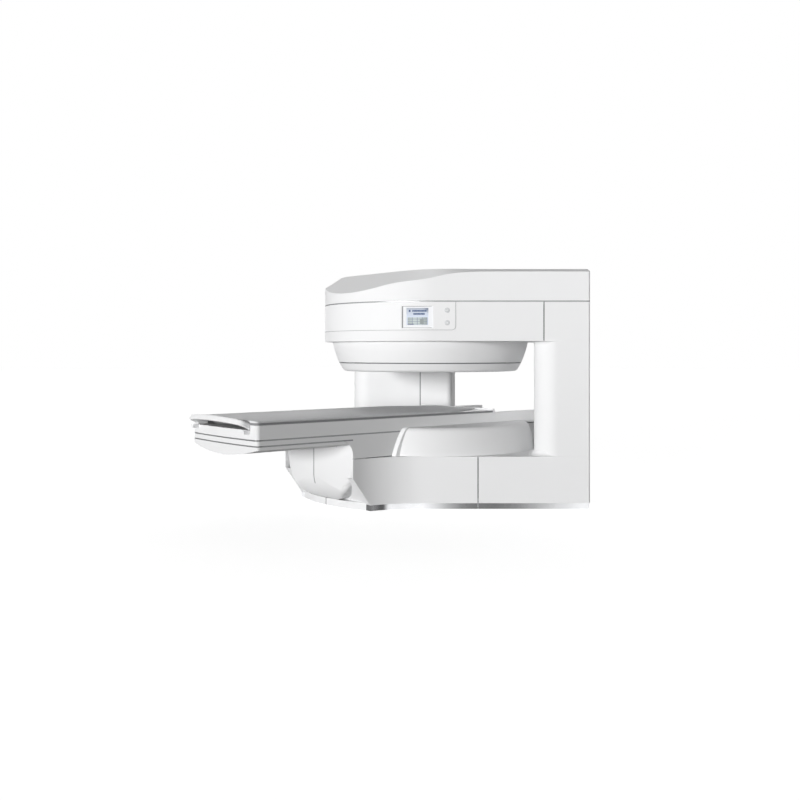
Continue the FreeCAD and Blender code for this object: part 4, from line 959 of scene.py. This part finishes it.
class SCANNER_OT_controls(bpy.types.Operator):
    """Finish the control fascia, its display and its two keys"""

    bl_idname = "scanner.controls"
    bl_label = "Controls"

    def execute(self, context):
        finishes, display = context.scene.scanner_finishes, context.scene.scanner_display
        outline = (spread("control_fascia", ALONG)[1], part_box("control_fascia")[0].z)
        seams = [("height", between("nose_cover", "top_cap", UP))]
        paint = moulded_paint("fascia_paint", finishes, 0.5, FASCIA_GLOSS, seams=seams, outline=outline)
        dress(paint, "control_fascia")
        bezel, screen = "display_bezel", "display_screen"
        dress(bezel_mould("bezel_mould", finishes.bezel, middle(bezel), *half_face(bezel)), bezel)
        dress(screen_picture("screen_picture", display, middle(screen), *half_face(screen)), screen)
        dress(circuit_laminate("display_circuit"), "display_board")
        ring_finish = matt_mould("key_ring_mould", finishes.key_ring, roughness=0.4)
        fascia = surface_of("control_fascia")
        for which in ("upper", "lower"):
            button = which + "_button"
            centre, radius = middle(button), half_face(button)[1]
            dress(key_face(which + "_key_face", finishes.key, centre), button)
            self.ring(which, fascia, centre, radius, ring_finish)
        return {"FINISHED"}

    @staticmethod
    def ring(which, fascia, centre, radius, material):
        """A thin turned ring seated on the fascia round one key."""
        inner, width, proud, sunk = radius + 0.9 * MM, 2.6 * MM, 1.0 * MM, 0.6 * MM
        before = 0.2  # metres in front of the fascia, where its search starts
        place = fascia.ray_cast(centre + ALONG * (inner + width / 2) + OUT * before, -OUT)[0]
        if place is None:
            raise RuntimeError("the fascia isn't behind the " + which + " key")
        base = centre + OUT * (place - centre).dot(OUT)
        soft = 0.5 * MM  # width of the ring's softened edges
        mesh = lathe([
            (inner, -sunk), (inner, proud - soft), (inner + soft, proud),
            (inner + width - soft, proud), (inner + width, proud - soft), (inner + width, -sunk),
        ], segments=64)
        mesh.transform(facing(OUT, base))
        new_piece(which + "_key_ring", mesh, material, "scanner")


class SCANNER_OT_tabletop(bpy.types.Operator):
    """Finish the sliding tabletop's board and keel"""

    bl_idname = "scanner.tabletop"
    bl_label = "Tabletop"

    def execute(self, context):
        finishes = context.scene.scanner_finishes
        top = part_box("tabletop_board")[1].z
        dress(laminate("board_laminate", finishes.board, finishes.handle, top),
              "tabletop_board", "tabletop_keel")
        return {"FINISHED"}


class SCANNER_OT_mat(bpy.types.Operator):
    """Make the padded patient mat and its sewn seam"""

    bl_idname = "scanner.mat"
    bl_label = "Patient mat"

    def execute(self, context):
        settings, finishes = context.scene.scanner_mat, context.scene.scanner_finishes
        cloth = coated_cloth("mat_cloth", finishes.mat)
        mesh, loose = self.shell(settings)
        self.fill(mesh, loose, settings)
        for face in mesh.polygons:
            face.use_smooth = True
        mat = new_piece("patient_mat_pad", mesh, cloth, "tabletop")
        subdivision = mat.modifiers.new("smooth", "SUBSURF")
        subdivision.levels = subdivision.render_levels = 1
        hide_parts("patient_mat")
        self.seam(mesh, settings, finishes)
        return {"FINISHED"}

    def half_width(self, place):
        """Half the width of the mat's space at a place along it."""
        beside = Vector((place, 2, self.mid_height))  # 2 m out, clear of the table
        hit = self.space.ray_cast(beside, -Y_AXIS)[0]
        return hit.y if hit else 0.0

    def outline(self, settings):
        """Stations along the mat, closer at its ends, each with its half width."""
        low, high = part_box("patient_mat")
        self.space, self.mid_height = surface_of("patient_mat"), (low.z + high.z) / 2
        span, nudge = high.x - low.x, 0.05 * MM
        crowding = 0.12  # 0 would set the stations evenly
        stations = []
        for row in range(settings.rows + 1):
            share = row / settings.rows
            eased = share - math.sin(2 * math.pi * share) * crowding
            along = low.x + nudge + (span - 2 * nudge) * eased
            stations.append((along, self.half_width(along)))
        return stations, low, high

    def shell(self, settings):
        """A closed flat cushion in the mat's space, and which of its points the filling may lift."""
        stations, low, high = self.outline(settings)
        edge, columns = settings.edge, settings.columns
        first, last = stations[0][0], stations[-1][0]
        crowding = 0.35  # 0 would set the columns evenly
        shape = bmesh.new()
        grids = []
        thickness = high.z - low.z - settings.swell * 0.5  # which leaves the filling some room
        for half_rise in (0.5, -0.5):
            grid = []
            for along, half in stations:
                line = []
                for column in range(columns + 1):
                    share = column / columns * 2 - 1
                    eased = math.sin(share * math.pi / 2) * crowding + share * (1 - crowding)
                    across = eased * half
                    inset = min(half - abs(across), along - first, last - along)
                    near = 1 - min(inset, edge) / edge
                    rise = math.sqrt(max(0.0, 1 - near * near))
                    level = low.z + thickness * (0.5 + half_rise * rise)
                    line.append(shape.verts.new((along, across, level)))
                grid.append(line)
            grids.append(grid)
        top, bottom = grids
        for row in range(len(stations) - 1):
            for column in range(columns):
                shape.faces.new([top[row][column], top[row + 1][column],
                                 top[row + 1][column + 1], top[row][column + 1]])
                shape.faces.new([bottom[row][column], bottom[row][column + 1],
                                 bottom[row + 1][column + 1], bottom[row + 1][column]])
        bmesh.ops.remove_doubles(shape, verts=shape.verts, dist=0.02 * MM)
        bmesh.ops.recalc_face_normals(shape, faces=shape.faces)
        mesh = meshed(shape, "patient_mat_pad")
        free_from = low.z + thickness * 0.8
        return mesh, [v.co.z > free_from for v in mesh.vertices]

    @staticmethod
    def fill(mesh, loose, settings):
        """Lets the filling push the cushion's top cover out, by a cloth simulation."""
        flat = [v.co.copy() for v in mesh.vertices]
        scene, frames = bpy.context.scene, 20
        pad = linked("pad", mesh)
        held = pad.vertex_groups.new(name="held")
        held.add([i for i, free in enumerate(loose) if not free], 1.0, "REPLACE")
        modifier = pad.modifiers.new("filling", "CLOTH")
        cloth = modifier.settings
        cloth.quality, cloth.mass = 5, 0.4
        cloth.use_pressure, cloth.uniform_pressure_force = True, 4.0
        cloth.tension_stiffness = cloth.compression_stiffness = 12
        cloth.bending_stiffness = 2.0
        cloth.vertex_group_mass = "held"
        cloth.effector_weights.gravity = 0
        modifier.collision_settings.use_collision = False
        modifier.point_cache.frame_end = frames
        for step in range(frames):
            scene.frame_set(step + 1)
        shaped = pad.evaluated_get(bpy.context.evaluated_depsgraph_get()).data
        moved = [v.co.copy() for v in shaped.vertices]
        scene.frame_set(1)
        pad.modifiers.remove(modifier)
        bpy.data.objects.remove(pad)
        still = 1e-9  # stands for the length of a push that is none
        for vertex, start, end in zip(mesh.vertices, flat, moved):
            push = end - start
            vertex.co = start + push * (min(push.length, settings.swell) / max(push.length, still))

    def seam(self, mesh, settings, finishes):
        """Stitches along a line inside the mat's edge, set on its cover by Geometry Nodes."""
        stations, _, high = self.outline(settings)
        inset = settings.seam_inset
        start, end = stations[0][0] + inset, stations[-1][0] - inset
        side = [(along, half - inset) for along, half in stations if start < along < end]
        loop = side + [(along, -half) for along, half in reversed(side)]
        cover = faces_of(mesh)
        points = []
        for along, across in loop:
            hit = cover.ray_cast(Vector((along, across, high.z + 1)), -UP)[0]
            points.append(hit + UP * settings.stitch_width * 0.1)
        count = len(points)
        line = bpy.data.meshes.new("seam_line")
        line.from_pydata(points, [(step, (step + 1) % count) for step in range(count)], [])
        thread = matt_mould("mat_thread", shade(finishes.mat, 0.75), roughness=0.6, grain=1500.0)
        sizes = {
            "Pitch": settings.stitch_pitch, "Length": settings.stitch_length,
            "Width": settings.stitch_width,
        }
        tree, inputs = nodes_tree("sewn_seam", [("Float", label) for label in sizes])
        curve = tree.node("GeometryNodeMeshToCurve", None, {"Mesh": inputs})
        spaced = {"Curve": curve, "Length": inputs.of("Pitch")}
        spots = tree.node("GeometryNodeCurveToPoints", {"mode": "LENGTH"}, spaced)
        half, thin = inputs.of("Length") * 0.5, inputs.of("Width") * 0.5
        size = tree.node("ShaderNodeCombineXYZ", None, {"X": thin, "Y": thin, "Z": half})
        ball = tree.node("GeometryNodeMeshUVSphere", None, {"Segments": 6, "Rings": 4, "Radius": 1.0})
        stitches = tree.node("GeometryNodeInstanceOnPoints", None, {
            "Points": spots, "Instance": ball, "Rotation": spots.of("Rotation"), "Scale": size,
        })
        made = modified(line, end_tree(tree, stitches, thread), sizes, "sewn_seam")
        new_piece("patient_mat_stitches", made, thread, "tabletop")


class SCANNER_OT_mouldings(bpy.types.Operator):
    """Sweep the posts into the deck and the yoke"""

    bl_idname = "scanner.mouldings"
    bl_label = "Mouldings"

    def execute(self, context):
        settings = context.scene.scanner_mouldings
        paint = bpy.data.materials["post_paint"]
        deck = hull("base_deck")
        foot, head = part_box("base_deck")[1].z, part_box("soffit_panel")[0].z
        for side in ("near", "far"):
            wall = divided(hull(side + "_post_front_cover", side + "_post_back_cover"), most=20 * MM)
            for end, level, rise, radius, beside in (
                ("foot", foot, 1, settings.foot_radius, side + "_pole_cover"),
                ("head", head, -1, settings.head_radius, "upper_pole_cone_cover"),
            ):
                rings = self.sweep(wall, deck, level, rise, radius, surface_of(beside))
                name = side + "_post_" + end + "_sweep"
                new_piece(name, loft(rings, name), paint, "scanner")
        return {"FINISHED"}

    @staticmethod
    def sweep(wall, deck, level, rise, radius, beside):
        """Sections of a concave sweep round a post, as wide as the deck and next cover leave room."""
        deck_share, cover_share = 0.8, 0.6  # of the room beside the wall, the share that it takes
        steps, sight = 9, 4 * MM  # sight is how far from the level the next cover is looked for
        sunk, root = 0.3 * MM, 0.6 * MM  # how far its faces and its back corner lie in what it meets
        count = len(wall)
        rooms = []
        for step, place in enumerate(wall):
            away = outward(wall[step - 1], wall[(step + 1) % count])
            room = radius
            for one, other in zip(deck, deck[1:] + deck[:1]):
                side = outward(one, other)
                towards = side.dot(away)
                if towards > 0.05:  # the deck's other sides lie behind or beside
                    room = min(room, (one - place).dot(side) / towards * deck_share)
            start = Vector((*(place + away * MM), level + rise * sight))
            gap = beside.ray_cast(start, away.to_3d(), radius * 2)[3]
            rooms.append((min(room, gap * cover_share) if gap else room, place, away))
        first = next(step for step in range(count) if rooms[step - 1][0] < MM <= rooms[step][0])
        sections = []
        for room, place, away in rooms[first:] + rooms[:first]:
            if room < MM:
                break
            section = []
            for step in range(steps + 1):
                angle = step / steps * math.pi / 2
                wide, tall = room * (1 - math.cos(angle)), room * (1 - math.sin(angle))
                spot = place + away * (wide - sunk)
                section.append(Vector((*spot, level + rise * (tall - sunk))))
            sections.append(section + [Vector((*(place - away * root), level - rise * root))])
        if len(sections) < 2:
            raise RuntimeError("there is no room for a sweep round a post")
        return sections


class SCANNER_OT_screws(bpy.types.Operator):
    """Set the cover screws at the head end and under the table"""

    bl_idname = "scanner.screws"
    bl_label = "Cover screws"

    def execute(self, context):
        settings, finishes = context.scene.scanner_screws, context.scene.scanner_finishes
        steel = milled_metal("screw_steel", finishes.steel, roughness=0.3)
        head = linked("screw_head", self.head_mesh(settings))
        tree, inputs = nodes_tree("screw_rows", [("Object", "Head")])
        shape = tree.node("GeometryNodeObjectInfo", None, {"Object": inputs.of("Head")}, "Geometry")
        vectors = {"data_type": "FLOAT_VECTOR"}
        normal = tree.node("GeometryNodeInputNamedAttribute", vectors, {"Name": "facing"})
        turn = tree.node("FunctionNodeAlignRotationToVector", {"axis": "Z"}, {"Vector": normal})
        spots = tree.node("GeometryNodeMeshToPoints", None, {"Mesh": inputs})
        rows = tree.node("GeometryNodeInstanceOnPoints", None, {
            "Points": spots, "Instance": shape, "Rotation": turn,
        })
        points = bpy.data.meshes.new("screw_points")
        spots, normals = zip(*self.places(settings))
        points.from_pydata(spots, [], [])
        points.attributes.new("facing", "FLOAT_VECTOR", "POINT")
        for value, normal in zip(points.attributes["facing"].data, normals):
            value.vector = normal
        made = modified(points, end_tree(tree, rows, steel), {"Head": head}, "screw_rows")
        new_piece("cover_screws", made, steel, "scanner")
        bpy.data.objects.remove(head)
        return {"FINISHED"}

    @staticmethod
    def head_mesh(settings):
        """A domed head with a round socket."""
        radius, tall, deep = settings.radius, settings.height, settings.height * 0.6
        return lathe([
            (0, tall - deep), (settings.socket, tall - deep), (settings.socket, tall),
            (radius * 0.62, tall * 0.97), (radius * 0.9, tall * 0.68), (radius, tall * 0.2),
            (radius, -tall * 0.2), (0, -tall * 0.2),
        ], segments=24)

    @staticmethod
    def places(settings):
        """Places and normals on the head-end covers' upper and lower rims and the belly pan's sides."""
        found = []
        inset = settings.radius * 3  # from a head-end cover's upper and lower edges
        corner_inset = inset * 1.5
        for name in ("head_yoke_cover", "head_base_cover"):
            low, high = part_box(name)
            cover = surface_of(name)
            for height in (low.z + inset, high.z - inset):
                for share in HEAD_SCREWS:
                    across = share * ((high.y - low.y) / 2 - corner_inset)
                    behind = Vector((high.x + 1, across, height))
                    found.append(cover.ray_cast(behind, -X_AXIS)[:2])
        low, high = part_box("belly_pan")
        pan = surface_of("belly_pan")
        for share in PAN_SCREWS:
            along = low.x + (high.x - low.x) * share
            for side in (-PAN_SIDE, PAN_SIDE):
                below = Vector((along, side * high.y, low.z - 1))
                found.append(pan.ray_cast(below, UP)[:2])
        return found


OPERATORS = (
    SCANNER_OT_stage, SCANNER_OT_covers, SCANNER_OT_metalwork, SCANNER_OT_controls,
    SCANNER_OT_tabletop, SCANNER_OT_mat, SCANNER_OT_mouldings, SCANNER_OT_screws,
)


class SCANNER_PT_looks(bpy.types.Panel):
    """Lists the scanner's pieces and their settings"""

    bl_idname = "SCANNER_PT_looks"
    bl_label = "Scanner"
    bl_space_type = "VIEW_3D"
    bl_region_type = "UI"
    bl_category = "Scanner"

    def draw(self, context):
        for operator in OPERATORS:
            self.layout.operator(operator.bl_idname)
        for name, kind in SETTINGS.items():
            box = self.layout.box()
            for each in kind.__annotations__:
                box.prop(getattr(context.scene, name), each)


def register():
    for each in (*SETTINGS.values(), *OPERATORS, SCANNER_PT_looks):
        bpy.utils.register_class(each)
    for name, kind in SETTINGS.items():
        setattr(bpy.types.Scene, name, PointerProperty(type=kind))


def unregister():
    for name in SETTINGS:
        delattr(bpy.types.Scene, name)
    for each in reversed((*SETTINGS.values(), *OPERATORS, SCANNER_PT_looks)):
        bpy.utils.unregister_class(each)


def main():
    """Makes the looks, piece by piece."""
    register()
    for operator in OPERATORS:
        area, name = operator.bl_idname.split(".")
        getattr(getattr(bpy.ops, area), name)()


if __name__ == "__main__":
    main()
